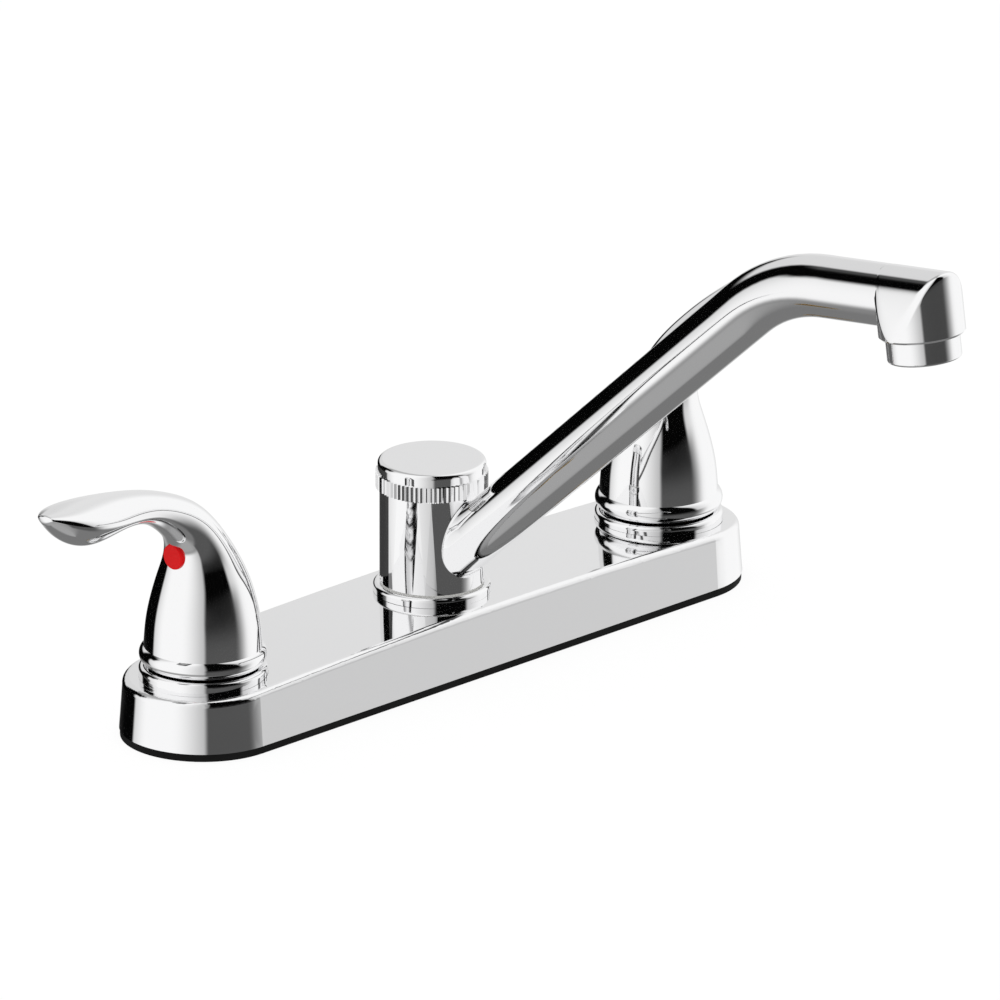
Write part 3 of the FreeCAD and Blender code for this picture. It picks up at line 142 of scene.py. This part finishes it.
def put_math(tree, operation, first, second=None, place=(0, 0)):
    node = put(tree, "ShaderNodeMath", place, operation=operation)
    for socket, value in zip(node.inputs, (first, second)):
        feed(tree, socket, value)
    return node.outputs[0]


def feed(tree, socket, value):
    """Links an output to the socket, or sets it where the value is a plain one."""
    if isinstance(value, bpy.types.NodeSocket):
        tree.links.new(value, socket)
    elif value is not None:
        socket.default_value = value


def put_mix(tree, factor, first, second, place=(0, 0)):
    node = put(tree, "ShaderNodeMix", place, data_type="RGBA")
    feed(tree, node.inputs["Factor"], factor)
    feed(tree, node.inputs["A"], first)
    feed(tree, node.inputs["B"], second)
    return node.outputs["Result"]


def put_range(tree, value, low, high, place=(0, 0)):
    """Goes smoothly from 0 to 1 while the value goes from low to high."""
    node = put(tree, "ShaderNodeMapRange", place, interpolation_type="SMOOTHSTEP")
    feed(tree, node.inputs["Value"], value)
    feed(tree, node.inputs["From Min"], low)
    feed(tree, node.inputs["From Max"], high)
    return node.outputs["Result"]


# ---------------------------------------------------------------- surroundings


# What the polished parts reflect: a white room with soft-edged cards in it, laid one over the
# other. Angles are in degrees. Azimuths run clockwise, seen from above, from the direction of
# the camera, elevations upwards from the level. The blur is the width of a card's soft edges.
Card = namedtuple("Card", "azimuths elevations blur grey")
ALL_ROUND = (-360, 360)
ROOM_GREY = 1.0
CARDS = {
    "left haze": Card((-190, -108), (-90, 90), (50, 10), 0.45),
    "front haze": Card((-10, 78), (-100, 100), (70, 10), 0.36),
    "back haze": Card((160, 192), (-20, 60), (30, 30), 0.80),
    "table": Card(ALL_ROUND, (-150, -34), (10, 16), 0.19),
    "lit table": Card((-95, 5), (-150, -38), (50, 16), 0.37),
    "front skirt": Card((4, 64), (-50, 8), (8, 14), 0.09),
    "front skirt's end": Card((22, 82), (-50, 8), (36, 14), 0.09),
    "front card": Card((5, 71.5), (-2, 150), (9, 30), 0.001),
    "left card": Card((-170, -110.5), (-25, 41), (6, 16), 0.001),
    "left card's wing": Card((-125, -101), (17, 38), (8, 10), 0.001),
    "back card": Card((-178, -137), (9, 40), (8, 8), 0.72),
}
WHITE = (1.0, 1.0, 1.0, 1.0)
FLOOR_GLOW = 1.05
FLOOR_GREY = 0.9
# The floor lies this far below the gasket, in millimetres, so that the two don't coincide
FLOOR_DROP = 0.2
SENSOR_WIDTH = 36.0
CLIP_START = 0.1
CLIP_END = 100.0


def grey(level):
    return (level, level, level, 1.0)


def span_mask(tree, angle, span, blur, row):
    """Is 1 inside a span of angles, 0 outside, and passes from one to the other over the blur."""
    middle = (span[0] + span[1]) / 2
    reach = (span[1] - span[0]) / 2
    offset = put_math(tree, "SUBTRACT", angle, middle, (5, row))
    turned = put(tree, "ShaderNodeMath", (6, row), operation="WRAP")
    feed(tree, turned.inputs[0], offset)
    turned.inputs[1].default_value = HALF_TURN
    turned.inputs[2].default_value = -HALF_TURN
    away = put_math(tree, "ABSOLUTE", turned.outputs[0], None, (7, row))
    return put_range(tree, away, reach + blur / 2, reach - blur / 2, (8, row))


def studio_greys(tree, azimuth):
    """The colour of the surroundings for a reflected direction."""
    direction = put(tree, "ShaderNodeTexCoord", (0, 0)).outputs["Generated"]
    to_camera = Vector((-math.sin(azimuth), -math.cos(azimuth), 0))
    to_right = Vector((math.cos(azimuth), -math.sin(azimuth), 0))
    shares = []
    for row, axis in enumerate((to_right, to_camera)):
        dot = put(tree, "ShaderNodeVectorMath", (1, row), operation="DOT_PRODUCT")
        feed(tree, dot.inputs[0], direction)
        feed(tree, dot.inputs[1], axis)
        shares.append(dot.outputs["Value"])
    angle = put_math(tree, "ARCTAN2", shares[0], shares[1], (2, 0))
    around = put_math(tree, "DEGREES", angle, None, (3, 0))
    height = put(tree, "ShaderNodeSeparateXYZ", (1, 2))
    feed(tree, height.inputs[0], direction)
    rise = put_math(tree, "ARCSINE", height.outputs["Z"], None, (2, 2))
    above = put_math(tree, "DEGREES", rise, None, (3, 2))
    colour = grey(ROOM_GREY)
    for row, card in enumerate(CARDS.values()):
        across = span_mask(tree, around, card.azimuths, card.blur[0], 2 * row)
        along = span_mask(tree, above, card.elevations, card.blur[1], 2 * row + 1)
        mask = put_math(tree, "MULTIPLY", across, along, (9, 2 * row))
        colour = put_mix(tree, mask, colour, grey(card.grey), (10, 2 * row))
    return colour


def make_surroundings(settings):
    """The world: white for the camera, even for matt surfaces and the studio for polished ones."""
    world = bpy.data.worlds.new("Studio")
    world.use_nodes = True
    bpy.context.scene.world = world
    tree = world.node_tree
    tree.nodes.clear()
    studio = studio_greys(tree, settings.azimuth)
    path = put(tree, "ShaderNodeLightPath", (9, 2))
    seen = put_math(tree, "MAXIMUM", path.outputs["Is Camera Ray"],
                    path.outputs["Is Transmission Ray"], (10, 2))
    even = (settings.ambient,) * 3 + (1,)
    lit = put_mix(tree, path.outputs["Is Glossy Ray"], even, studio, (10, 0))
    shown = put_mix(tree, seen, lit, WHITE, (11, 0))
    background = put(tree, "ShaderNodeBackground", (12, 0))
    feed(tree, background.inputs["Color"], shown)
    output = put(tree, "ShaderNodeOutputWorld", (13, 0))
    feed(tree, output.inputs["Surface"], background.outputs[0])


def make_floor(settings):
    """A white floor with a faint shadow, clear from below and for the polished parts."""
    mesh = bpy.data.meshes.new("floor")
    shape = bmesh.new()
    bmesh.ops.create_grid(shape, x_segments=1, y_segments=1, size=settings.floor_size / 2)
    bmesh.ops.translate(shape, vec=(0, 0, -FLOOR_DROP * MM), verts=shape.verts)
    shape.to_mesh(mesh)
    shape.free()
    floor = bpy.data.objects.new("floor", mesh)
    bpy.context.scene.collection.objects.link(floor)
    material = bpy.data.materials.new("White floor")
    material.use_nodes = True
    tree = material.node_tree
    tree.nodes.clear()
    matt = put(tree, "ShaderNodeBsdfDiffuse", (0, 0))
    matt.inputs["Color"].default_value = grey(FLOOR_GREY)
    white = put(tree, "ShaderNodeEmission", (0, 1))
    white.inputs["Strength"].default_value = FLOOR_GLOW
    lit = put(tree, "ShaderNodeMixShader", (1, 0))
    lit.inputs["Fac"].default_value = settings.floor_shadow
    feed(tree, lit.inputs[1], white.outputs[0])
    feed(tree, lit.inputs[2], matt.outputs[0])
    path = put(tree, "ShaderNodeLightPath", (0, 2))
    side = put(tree, "ShaderNodeNewGeometry", (0, 3))
    unseen = put_math(tree, "MAXIMUM", path.outputs["Is Glossy Ray"],
                      side.outputs["Backfacing"], (1, 2))
    clear = put(tree, "ShaderNodeBsdfTransparent", (1, 1))
    split = put(tree, "ShaderNodeMixShader", (2, 0))
    feed(tree, split.inputs["Fac"], unseen)
    feed(tree, split.inputs[1], lit.outputs[0])
    feed(tree, split.inputs[2], clear.outputs[0])
    output = put(tree, "ShaderNodeOutputMaterial", (3, 0))
    feed(tree, output.inputs["Surface"], split.outputs[0])
    mesh.materials.append(material)


def make_camera(settings):
    data = bpy.data.cameras.new("Camera")
    data.lens = settings.lens
    data.sensor_width = SENSOR_WIDTH
    data.clip_start = CLIP_START
    data.clip_end = CLIP_END
    camera = bpy.data.objects.new("Camera", data)
    bpy.context.scene.collection.objects.link(camera)
    level = math.cos(settings.elevation)
    back = Vector((
        -math.sin(settings.azimuth) * level,
        -math.cos(settings.azimuth) * level,
        math.sin(settings.elevation),
    ))
    camera.location = Vector(settings.aim) + back * settings.distance
    camera.rotation_euler = back.to_track_quat("Z", "Y").to_euler()
    bpy.context.scene.camera = camera


# ---------------------------------------------------------------- finishes


# The matt and satin finishes: two tones that the colour drifts between, roughness, and where
# they differ from the usual how metallic it is and its share of mirror-like shine.
Grain = namedtuple("Grain", "name light dark roughness metallic shine", defaults=(0.0, 0.5))
CHROMES = {
    "plate_chrome": "Plate chrome",
    "handle_chrome": "Handle chrome",
    "spout_chrome": "Spout chrome",
    "ring_chrome": "Ring chrome",
}
GRAINS = {
    "gasket_rubber": Grain("Gasket rubber", (0.011, 0.011, 0.011), (0.007, 0.007, 0.007), 0.6, shine=0.06),
    "seal_rubber": Grain("Seal rubber", (0.020, 0.020, 0.020), (0.013, 0.013, 0.013), 0.35),
    "hot_red": Grain("Red enamel", (0.72, 0.008, 0.010), (0.66, 0.006, 0.008), 0.25, shine=0.08),
    "cold_blue": Grain("Blue enamel", (0.010, 0.07, 0.60), (0.008, 0.06, 0.54), 0.25, shine=0.08),
    "white_plastic": Grain("White plastic", (0.80, 0.80, 0.78), (0.76, 0.76, 0.73), 0.4),
    "grey_plastic": Grain("Grey plastic", (0.46, 0.47, 0.49), (0.42, 0.43, 0.45), 0.4),
    "ceramic": Grain("Ceramic", (0.86, 0.85, 0.82), (0.82, 0.81, 0.78), 0.15),
    "brass": Grain("Brass", (0.78, 0.58, 0.27), (0.70, 0.50, 0.22), 0.28, metallic=1.0),
    "steel": Grain("Plated steel", (0.62, 0.62, 0.62), (0.54, 0.54, 0.55), 0.3, metallic=1.0),
}
FINISH_NAMES = {**CHROMES, **{slot: grain.name for slot, grain in GRAINS.items()}}
POLISH_GRAIN = {"Grain scale": 900.0, "Roughness": 0.035, "Spread": 0.02}
SPECKLE_GRAIN = {"Scale": 1200.0, "Patch scale": 60.0, "Roughness": 0.5, "Spread": 0.1}
PATCH_EDGES = (0.3, 0.7)
GRAIN_DEPTH = 0.00002
GRAIN_STRENGTH = 0.5


def new_group(name, inputs, outputs):
    """A shader node group with named sockets; inputs is {name: default}."""
    tree = bpy.data.node_groups.new(name, "ShaderNodeTree")
    for socket, default in inputs.items():
        made = tree.interface.new_socket(socket, in_out="INPUT", socket_type="NodeSocketFloat")
        made.default_value = default
    for socket, kind in outputs.items():
        tree.interface.new_socket(socket, in_out="OUTPUT", socket_type=f"NodeSocket{kind}")
    entry = put(tree, "NodeGroupInput", (-1, 0))
    leave = put(tree, "NodeGroupOutput", (8, 0))
    return tree, entry.outputs, leave.inputs


def put_noise(tree, coordinates, scale, detail, place):
    node = put(tree, "ShaderNodeTexNoise", place)
    feed(tree, node.inputs["Vector"], coordinates)
    feed(tree, node.inputs["Scale"], scale)
    node.inputs["Detail"].default_value = detail
    return node.outputs["Fac"]


def make_polish_group():
    """The fine grain that a buffed face keeps."""
    tree, given, out = new_group("Polish", POLISH_GRAIN, {"Roughness": "Float"})
    place = put(tree, "ShaderNodeTexCoord", (0, 0)).outputs["Object"]
    grain = put_noise(tree, place, given["Grain scale"], detail=3.0, place=(1, 1))
    spread = put_math(tree, "MULTIPLY", grain, given["Spread"], (2, 1))
    feed(tree, out["Roughness"], put_math(tree, "ADD", spread, given["Roughness"], (3, 1)))
    return tree


def make_speckle_group():
    """Fine grain for rubber, plastic and bare metal: a height, and a mask for the colour."""
    outputs = {"Height": "Float", "Mask": "Float", "Roughness": "Float"}
    tree, given, out = new_group("Speckle", SPECKLE_GRAIN, outputs)
    place = put(tree, "ShaderNodeTexCoord", (0, 0)).outputs["Object"]
    grain = put_noise(tree, place, given["Scale"], detail=4.0, place=(1, 0))
    patches = put_noise(tree, place, given["Patch scale"], detail=3.0, place=(1, 1))
    feed(tree, out["Height"], grain)
    feed(tree, out["Mask"], put_range(tree, patches, *PATCH_EDGES, (2, 1)))
    spread = put_math(tree, "MULTIPLY", grain, given["Spread"], (2, 2))
    feed(tree, out["Roughness"], put_math(tree, "ADD", spread, given["Roughness"], (3, 2)))
    return tree


def new_finish(name):
    """A material with a Principled shader, and that shader."""
    material = bpy.data.materials.new(name)
    material.use_nodes = True
    return material, material.node_tree.nodes["Principled BSDF"]


def place_group(tree, group, roughness):
    node = put(tree, "ShaderNodeGroup", (-3, 0), node_tree=group)
    node.inputs["Roughness"].default_value = roughness
    return node.outputs


def chrome_finish(name, polish, settings):
    """Bright plating."""
    material, shader = new_finish(name)
    tree = material.node_tree
    shader.inputs["Base Color"].default_value = (*settings.colour, 1)
    shader.inputs["Metallic"].default_value = 1.0
    grain = place_group(tree, polish, settings.roughness)
    feed(tree, shader.inputs["Roughness"], grain["Roughness"])
    return material


def grained_finish(grain, speckle):
    """A matt or satin material whose colour drifts a little between two tones."""
    material, shader = new_finish(grain.name)
    tree = material.node_tree
    shader.inputs["Metallic"].default_value = grain.metallic
    shader.inputs["Specular IOR Level"].default_value = grain.shine
    made = place_group(tree, speckle, grain.roughness)
    colour = put_mix(tree, made["Mask"], (*grain.dark, 1), (*grain.light, 1), (-2, 0))
    feed(tree, shader.inputs["Base Color"], colour)
    feed(tree, shader.inputs["Roughness"], made["Roughness"])
    bump = put(tree, "ShaderNodeBump", (-2, 2))
    bump.inputs["Strength"].default_value = GRAIN_STRENGTH
    bump.inputs["Distance"].default_value = GRAIN_DEPTH
    feed(tree, bump.inputs["Height"], made["Height"])
    feed(tree, shader.inputs["Normal"], bump.outputs["Normal"])
    return material


def make_finishes(settings):
    """One material for each of the record's slots."""
    polish = make_polish_group()
    speckle = make_speckle_group()
    finishes = {slot: chrome_finish(name, polish, settings) for slot, name in CHROMES.items()}
    for slot, grain in GRAINS.items():
        finishes[slot] = grained_finish(grain, speckle)
    return finishes


def dress_nodes(finishes):
    """Gives every CAD node the material of its slot."""
    for name, node in NODES.items():
        for slot in node.material_slots:
            slot.material = finishes[SLOTS[name]]


# ---------------------------------------------------------------- shells


# Sizes of the handles, in millimetres. The lever is a skin over egg-shaped sections: centre out
# from the valve's axis and up from the handle's foot, tilt from level in degrees, depth to the
# back or top, depth to the front or underside, half width, and how keen the side edges are.
HANDLE_SECTIONS = (
    (0.0, 5.9, 0.0, 18.85, 18.85, 18.85, 0.0),
    (0.0, 13.8, 0.0, 18.2, 18.2, 18.2, 0.0),
    (0.0, 21.8, 0.0, 16.6, 16.7, 16.6, 0.0),
    (0.2, 29.3, 0.0, 14.3, 14.4, 14.4, 0.0),
    (1.6, 35.0, 9.5, 12.1, 12.1, 12.2, 0.0),
    (3.9, 41.0, 25.0, 9.7, 9.7, 10.3, 0.0),
    (8.2, 47.3, 47.0, 8.1, 7.6, 8.9, 0.0),
    (15.5, 52.6, 71.0, 7.1, 6.1, 7.9, 0.0),
    (25.0, 56.8, 86.0, 6.5, 4.6, 7.7, 0.05),
    (40.0, 59.2, 90.0, 7.1, 4.4, 9.2, 0.15),
    (54.0, 61.4, 90.0, 6.0, 8.4, 11.0, 0.25),
    (63.0, 63.4, 90.0, 3.7, 6.6, 8.8, 0.3),
    (69.2, 65.3, 90.0, 1.2, 2.4, 3.4, 0.3),
)
TIP_ROUND = 0.8
TIP_ANGLES = (25, 45, 62, 76, 87)
BEAD_EDGE = 18.3
BEAD_BULGE = 2.0
BEAD_HEIGHT = 6.1
BEAD_STEPS = 14
HOLLOW = ((16.5, 0.0), (15.7, 12.0), (9.6, 21.8))
RINGS_PER_SECTION = 9
ROUND_STEPS = 96
WELD = 0.001

# Sizes of the spout, in millimetres and degrees
SPOUT_REACH = 215.0
BEND_REACH = 155.0
ROOT_HEIGHT = 42.6
SLEEVE_RADIUS = 16.65
SPOUT_RISE = 41.5
END_RISE = 8.3
NOSE_RADIUS = 13.8
NOSE_CREST = 10.02
NOSE_FLANK = 60.0
NOSE_FLANK_END = 78.0
NOSE_ROUND = 1.5
NOSE_CHAMFER = 0.8
NOSE_DROP = 11.3
OUTLET = ((10.75, -11.3), (10.75, -3.8), (9.4, -3.8), (9.4, 3.5), (0.0, 3.5))
NOSE_JOINT = 17.0
NOSE_OVERLAP = 8.5
NOSE_STEPS = 160
NOSE_TOP_STEPS = 30
NOSE_ROUND_STEPS = 8
NOSE_WALL_STEPS = 16
SMOOTH_LIMIT = 32.0


def spline_rows(rows, steps):
    """Rows of values on a natural cubic spline through the given rows, with steps per span."""
    points = np.array(rows, dtype=float)
    gaps = np.linalg.norm(np.diff(points[:, :2], axis=0), axis=1)
    count = len(points)
    system = np.eye(count)
    right = np.zeros_like(points)
    slopes = np.diff(points, axis=0) / gaps[:, None]
    for row in range(1, count - 1):
        system[row, row - 1] = gaps[row - 1]
        system[row, row] = 2 * (gaps[row - 1] + gaps[row])
        system[row, row + 1] = gaps[row]
        right[row] = 6 * (slopes[row] - slopes[row - 1])
    bends = np.linalg.solve(system, right)
    made = []
    for span, gap in enumerate(gaps):
        for step in range(steps):
            late = step / steps
            early = 1 - late
            curve = (early ** 3 - early) * bends[span] + (late ** 3 - late) * bends[span + 1]
            made.append(early * points[span] + late * points[span + 1] + curve * gap ** 2 / 6)
    made.append(points[-1])
    return made


def add_ring(shape, matrix, half_width, back, front, keen):
    """A loop of vertices in the shape of an egg with keener or rounder sides."""
    made = bmesh.ops.create_circle(shape, cap_ends=False, segments=ROUND_STEPS, radius=1.0)["verts"]
    for vert in made:
        depth = back if vert.co.y > 0 else front
        vert.co.y *= depth * abs(vert.co.y) ** keen
        vert.co.x *= half_width
    bmesh.ops.transform(shape, matrix=matrix, verts=made)
    return {edge for vert in made for edge in vert.link_edges}


def skin_rings(shape, rings):
    for lower, upper in zip(rings, rings[1:]):
        bmesh.ops.bridge_loops(shape, edges=list(lower | upper))


def finish_piece(name, shape, slot, body, limit=SMOOTH_LIMIT):
    """Makes the object that rides on a body, smooth but for its sharp edges."""
    bmesh.ops.remove_doubles(shape, verts=shape.verts, dist=WELD * MM)
    bmesh.ops.recalc_face_normals(shape, faces=shape.faces)
    mesh = bpy.data.meshes.new(name)
    shape.to_mesh(mesh)
    shape.free()
    mesh.polygons.foreach_set("use_smooth", [True] * len(mesh.polygons))
    mesh.set_sharp_from_angle(angle=math.radians(limit))
    piece = bpy.data.objects.new(name, mesh)
    bpy.context.scene.collection.objects.link(piece)
    mesh.materials.append(bpy.data.materials[FINISH_NAMES[slot]])
    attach(piece, body)
    return piece


def valve_axis(side):
    """A point on the axis of a side's valve."""
    low, high = (Vector(corner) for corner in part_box(f"{side}_base_ring"))
    return (low + high) / 2


def section_matrix(out, up, tilt):
    """Stands a ring on the lever's middle line, in the handle's own frame."""
    turn = Matrix.Rotation(math.radians(tilt), 4, "Y") @ SIDEWAYS
    return Matrix.Translation((out * MM, 0, up * MM)) @ turn


def bead_rows():
    """Radius and height of the rings on the round bead, up to where the bell leaves it."""
    middle = BEAD_HEIGHT / 2
    radius = (middle ** 2 + BEAD_BULGE ** 2) / (2 * BEAD_BULGE)
    half = math.asin(middle / radius)
    top = math.acos((HANDLE_SECTIONS[0][5] - BEAD_EDGE - BEAD_BULGE + radius) / radius)
    rows = []
    for step in range(BEAD_STEPS + 1):
        angle = -half + (half + top) * step / BEAD_STEPS
        across = BEAD_EDGE + BEAD_BULGE - radius * (1 - math.cos(angle))
        rows.append((across, middle + radius * math.sin(angle)))
    return rows


def tip_rows():
    """The last section, drawn in to a rounded point."""
    out, up, tilt, back, front, half_width, keen = HANDLE_SECTIONS[-1]
    rows = []
    for angle in TIP_ANGLES:
        shrink = math.cos(math.radians(angle))
        ahead = TIP_ROUND * math.sin(math.radians(angle))
        egg = (back * shrink, front * shrink, half_width * shrink)
        rows.append((out + ahead, up, tilt, *egg, keen))
    return rows


def make_handle_shell(side):
    """Bell, bead and lever as one smooth skin, hollow from below."""
    node = f"{side}_handle"
    shape = bmesh.new()
    rings = []
    for radius, height in (*reversed(HOLLOW), *bead_rows()):
        matrix = section_matrix(0, height, 0)
        rings.append(add_ring(shape, matrix, radius * MM, radius * MM, radius * MM, 0))
    sections = spline_rows(HANDLE_SECTIONS, RINGS_PER_SECTION)
    for out, up, tilt, back, front, half_width, keen in (*sections[1:], *tip_rows()):
        matrix = section_matrix(out, up, tilt)
        rings.append(add_ring(shape, matrix, half_width * MM, back * MM, front * MM, max(keen, 0)))
    skin_rings(shape, rings)
    for end in (rings[0], rings[-1]):
        bmesh.ops.holes_fill(shape, edges=list(end), sides=ROUND_STEPS)
    axis = valve_axis(side)
    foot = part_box(node)[0][2]
    turn = Matrix.Rotation(math.pi if side == "hot" else 0, 4, "Z")
    place = Matrix.Translation((axis.x, axis.y, foot)) @ turn
    bmesh.ops.transform(shape, matrix=place, verts=shape.verts)
    shell = finish_piece(f"{side}_handle_shell", shape, SLOTS[node], node)
    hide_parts(node)


def nose_matrix():
    """The nose's frame: origin on the tube's middle line, up along the nose's own axis."""
    bend = ROOT_HEIGHT + (BEND_REACH - SLEEVE_RADIUS) * math.tan(math.radians(SPOUT_RISE))
    height = bend + (SPOUT_REACH - BEND_REACH) * math.tan(math.radians(END_RISE))
    place = Matrix.Translation((0, -SPOUT_REACH * MM, height * MM))
    return place @ Matrix.Rotation(-math.radians(END_RISE), 4, "X")


def ridge_drop(across):
    """How far the nose's top lies below its crest, at a distance from the middle line."""
    slope = math.radians(NOSE_FLANK)
    across = abs(across)
    edge = NOSE_CREST * math.sin(slope)
    if across < edge:
        return NOSE_CREST - math.sqrt(NOSE_CREST ** 2 - across ** 2)
    bend = (math.radians(NOSE_FLANK_END) - slope) / (NOSE_RADIUS - edge)
    steeper = slope + bend * (across - edge)
    flank = math.log(math.cos(slope) / math.cos(steeper)) / bend
    return NOSE_CREST * (1 - math.cos(slope)) + flank


def nose_profile():
    """Radius and height of the nose's section, from its crest over the rim to the outlet's roof."""
    flat = NOSE_RADIUS - NOSE_ROUND
    rim = NOSE_CREST - NOSE_ROUND
    foot = NOSE_CHAMFER - NOSE_DROP
    top = [(flat * step / NOSE_TOP_STEPS, NOSE_CREST) for step in range(NOSE_TOP_STEPS)]
    for step in range(NOSE_ROUND_STEPS + 1):
        angle = math.radians(90) * step / NOSE_ROUND_STEPS
        top.append((flat + NOSE_ROUND * math.sin(angle), rim + NOSE_ROUND * math.cos(angle)))
    shares = [step / NOSE_WALL_STEPS for step in range(1, NOSE_WALL_STEPS + 1)]
    wall = [(NOSE_RADIUS, rim + (foot - rim) * share) for share in shares]
    return (*top, *wall, (NOSE_RADIUS - NOSE_CHAMFER, -NOSE_DROP), *OUTLET)


def add_nose(shape):
    """Spins the nose and shapes its top to a ridge in line with the tube."""
    verts = [shape.verts.new((radius, 0, height)) for radius, height in nose_profile()]
    edges = [shape.edges.new(pair) for pair in zip(verts, verts[1:])]
    bmesh.ops.spin(shape, geom=verts + edges, cent=(0, 0, 0), axis=(0, 0, 1),
                   angle=math.tau, steps=NOSE_STEPS, use_merge=True)
    foot = NOSE_CHAMFER - NOSE_DROP
    rim = NOSE_CREST - NOSE_ROUND
    for vert in shape.verts:
        outside = vert.co.xy.length > NOSE_RADIUS - WELD
        if vert.co.z > rim or outside:
            share = min(1, (vert.co.z - foot) / (rim - foot))
            vert.co.z -= max(0, share) * ridge_drop(vert.co.x)
    bmesh.ops.transform(shape, matrix=nose_matrix() @ Matrix.Scale(MM, 4), verts=shape.verts)


def make_spout_shell():
    """The CAD's tube and sleeve with a nose whose top is drawn on from the tube."""
    shape = bmesh.new()
    add_nose(shape)
    tube = bmesh.new()
    tube.from_mesh(NODES["spout"].data)
    bmesh.ops.remove_doubles(tube, verts=tube.verts, dist=WELD * MM)
    frame = nose_matrix()
    back = frame.to_3x3() @ Vector((0, 1, 0))
    joint = frame.translation + back * NOSE_JOINT * MM
    geom = [*tube.verts, *tube.edges, *tube.faces]
    bmesh.ops.bisect_plane(tube, geom=geom, plane_co=joint, plane_no=back, clear_inner=True)
    ends = [edge for edge in tube.edges if edge.is_boundary]
    grown = bmesh.ops.extrude_edge_only(tube, edges=ends)["geom"]
    moved = [item for item in grown if isinstance(item, bmesh.types.BMVert)]
    bmesh.ops.translate(tube, vec=-back * NOSE_OVERLAP * MM, verts=moved)
    mesh = bpy.data.meshes.new("tube")
    tube.to_mesh(mesh)
    tube.free()
    shape.from_mesh(mesh)
    bpy.data.meshes.remove(mesh)
    shell = finish_piece("spout_shell", shape, SLOTS["spout"], "spout")
    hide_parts("spout")


# ---------------------------------------------------------------- fine parts


# The pipe thread of the inlet shanks, in millimetres
THREAD_PITCH = 1.81
THREAD_TURNS = 7
THREAD_STEPS = 48
THREAD_RADIUS = 10.35
THREAD_TOOTH = 0.42
THREAD_FOOT_GAP = 0.6
THREAD_LIMIT = 20.0


def make_thread(side):
    """The helical ridge of the inlet shank's thread, below its relief groove."""
    shape = bmesh.new()
    tooth = bmesh.ops.create_circle(shape, cap_ends=True, segments=3, radius=THREAD_TOOTH * MM)
    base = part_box(f"{side}_valve_body")[0][2] + THREAD_FOOT_GAP * MM
    place = Matrix.Translation((THREAD_RADIUS * MM, 0, base)) @ STAND @ SIDEWAYS.inverted()
    bmesh.ops.transform(shape, matrix=place, verts=tooth["verts"])
    bmesh.ops.spin(shape, geom=[*shape.verts, *shape.edges, *shape.faces],
                   cent=(0, 0, 0), axis=(0, 0, 1), angle=math.tau * THREAD_TURNS,
                   steps=THREAD_STEPS * THREAD_TURNS, use_merge=False,
                   dvec=(0, 0, THREAD_PITCH * MM / THREAD_STEPS))
    bmesh.ops.holes_fill(shape, edges=[edge for edge in shape.edges if edge.is_boundary], sides=3)
    middle = valve_axis(side)
    bmesh.ops.translate(shape, vec=(middle.x, middle.y, 0), verts=shape.verts)
    finish_piece(f"{side}_inlet_thread", shape, "brass", "deck_set", THREAD_LIMIT)


# ---------------------------------------------------------------- operators and panel


class FAUCET_OT_stage(bpy.types.Operator):
    """Makes the floor, the studio and the camera"""

    bl_idname = "faucet.stage"
    bl_label = "Stage"

    def execute(self, context):
        settings = context.scene.faucet_stage
        make_floor(settings)
        make_surroundings(settings)
        make_camera(settings)
        context.scene.view_settings.view_transform = "Standard"
        return {"FINISHED"}


class FAUCET_OT_finishes(bpy.types.Operator):
    """Gives every part of the faucet its finish"""

    bl_idname = "faucet.finishes"
    bl_label = "Finishes"

    def execute(self, context):
        dress_nodes(make_finishes(context.scene.faucet_chrome))
        return {"FINISHED"}


class FAUCET_OT_handles(bpy.types.Operator):
    """Makes the smooth shells of the two lever handles"""

    bl_idname = "faucet.handles"
    bl_label = "Handles"

    def execute(self, context):
        for side in SIDES:
            make_handle_shell(side)
        return {"FINISHED"}


class FAUCET_OT_spout(bpy.types.Operator):
    """Makes the spout's smooth shell"""

    bl_idname = "faucet.spout"
    bl_label = "Spout"

    def execute(self, context):
        make_spout_shell()
        return {"FINISHED"}


class FAUCET_OT_threads(bpy.types.Operator):
    """Makes the threads of the inlet shanks"""

    bl_idname = "faucet.threads"
    bl_label = "Threads"

    def execute(self, context):
        for side in SIDES:
            make_thread(side)
        return {"FINISHED"}


class FAUCET_PT_sidebar(bpy.types.Panel):
    bl_idname = "FAUCET_PT_sidebar"
    bl_label = "Faucet"
    bl_space_type = "VIEW_3D"
    bl_region_type = "UI"
    bl_category = "Faucet"

    def draw(self, context):
        for settings in (context.scene.faucet_stage, context.scene.faucet_chrome):
            for name in settings.__annotations__:
                self.layout.prop(settings, name)
        for operator in OPERATORS:
            self.layout.operator(operator.bl_idname)


SETTINGS = {"faucet_stage": FaucetStageSettings, "faucet_chrome": FaucetChromeSettings}
OPERATORS = (
    FAUCET_OT_stage,
    FAUCET_OT_finishes,
    FAUCET_OT_handles,
    FAUCET_OT_spout,
    FAUCET_OT_threads,
)
CLASSES = (*SETTINGS.values(), *OPERATORS, FAUCET_PT_sidebar)


def register():
    for cls in CLASSES:
        bpy.utils.register_class(cls)
    for name, settings in SETTINGS.items():
        setattr(bpy.types.Scene, name, bpy.props.PointerProperty(type=settings))


def unregister():
    for name in SETTINGS:
        delattr(bpy.types.Scene, name)
    for cls in reversed(CLASSES):
        bpy.utils.unregister_class(cls)


def main():
    register()
    for operator in OPERATORS:
        getattr(bpy.ops.faucet, operator.bl_idname.split(".")[1])()


if __name__ == "__main__":
    main()
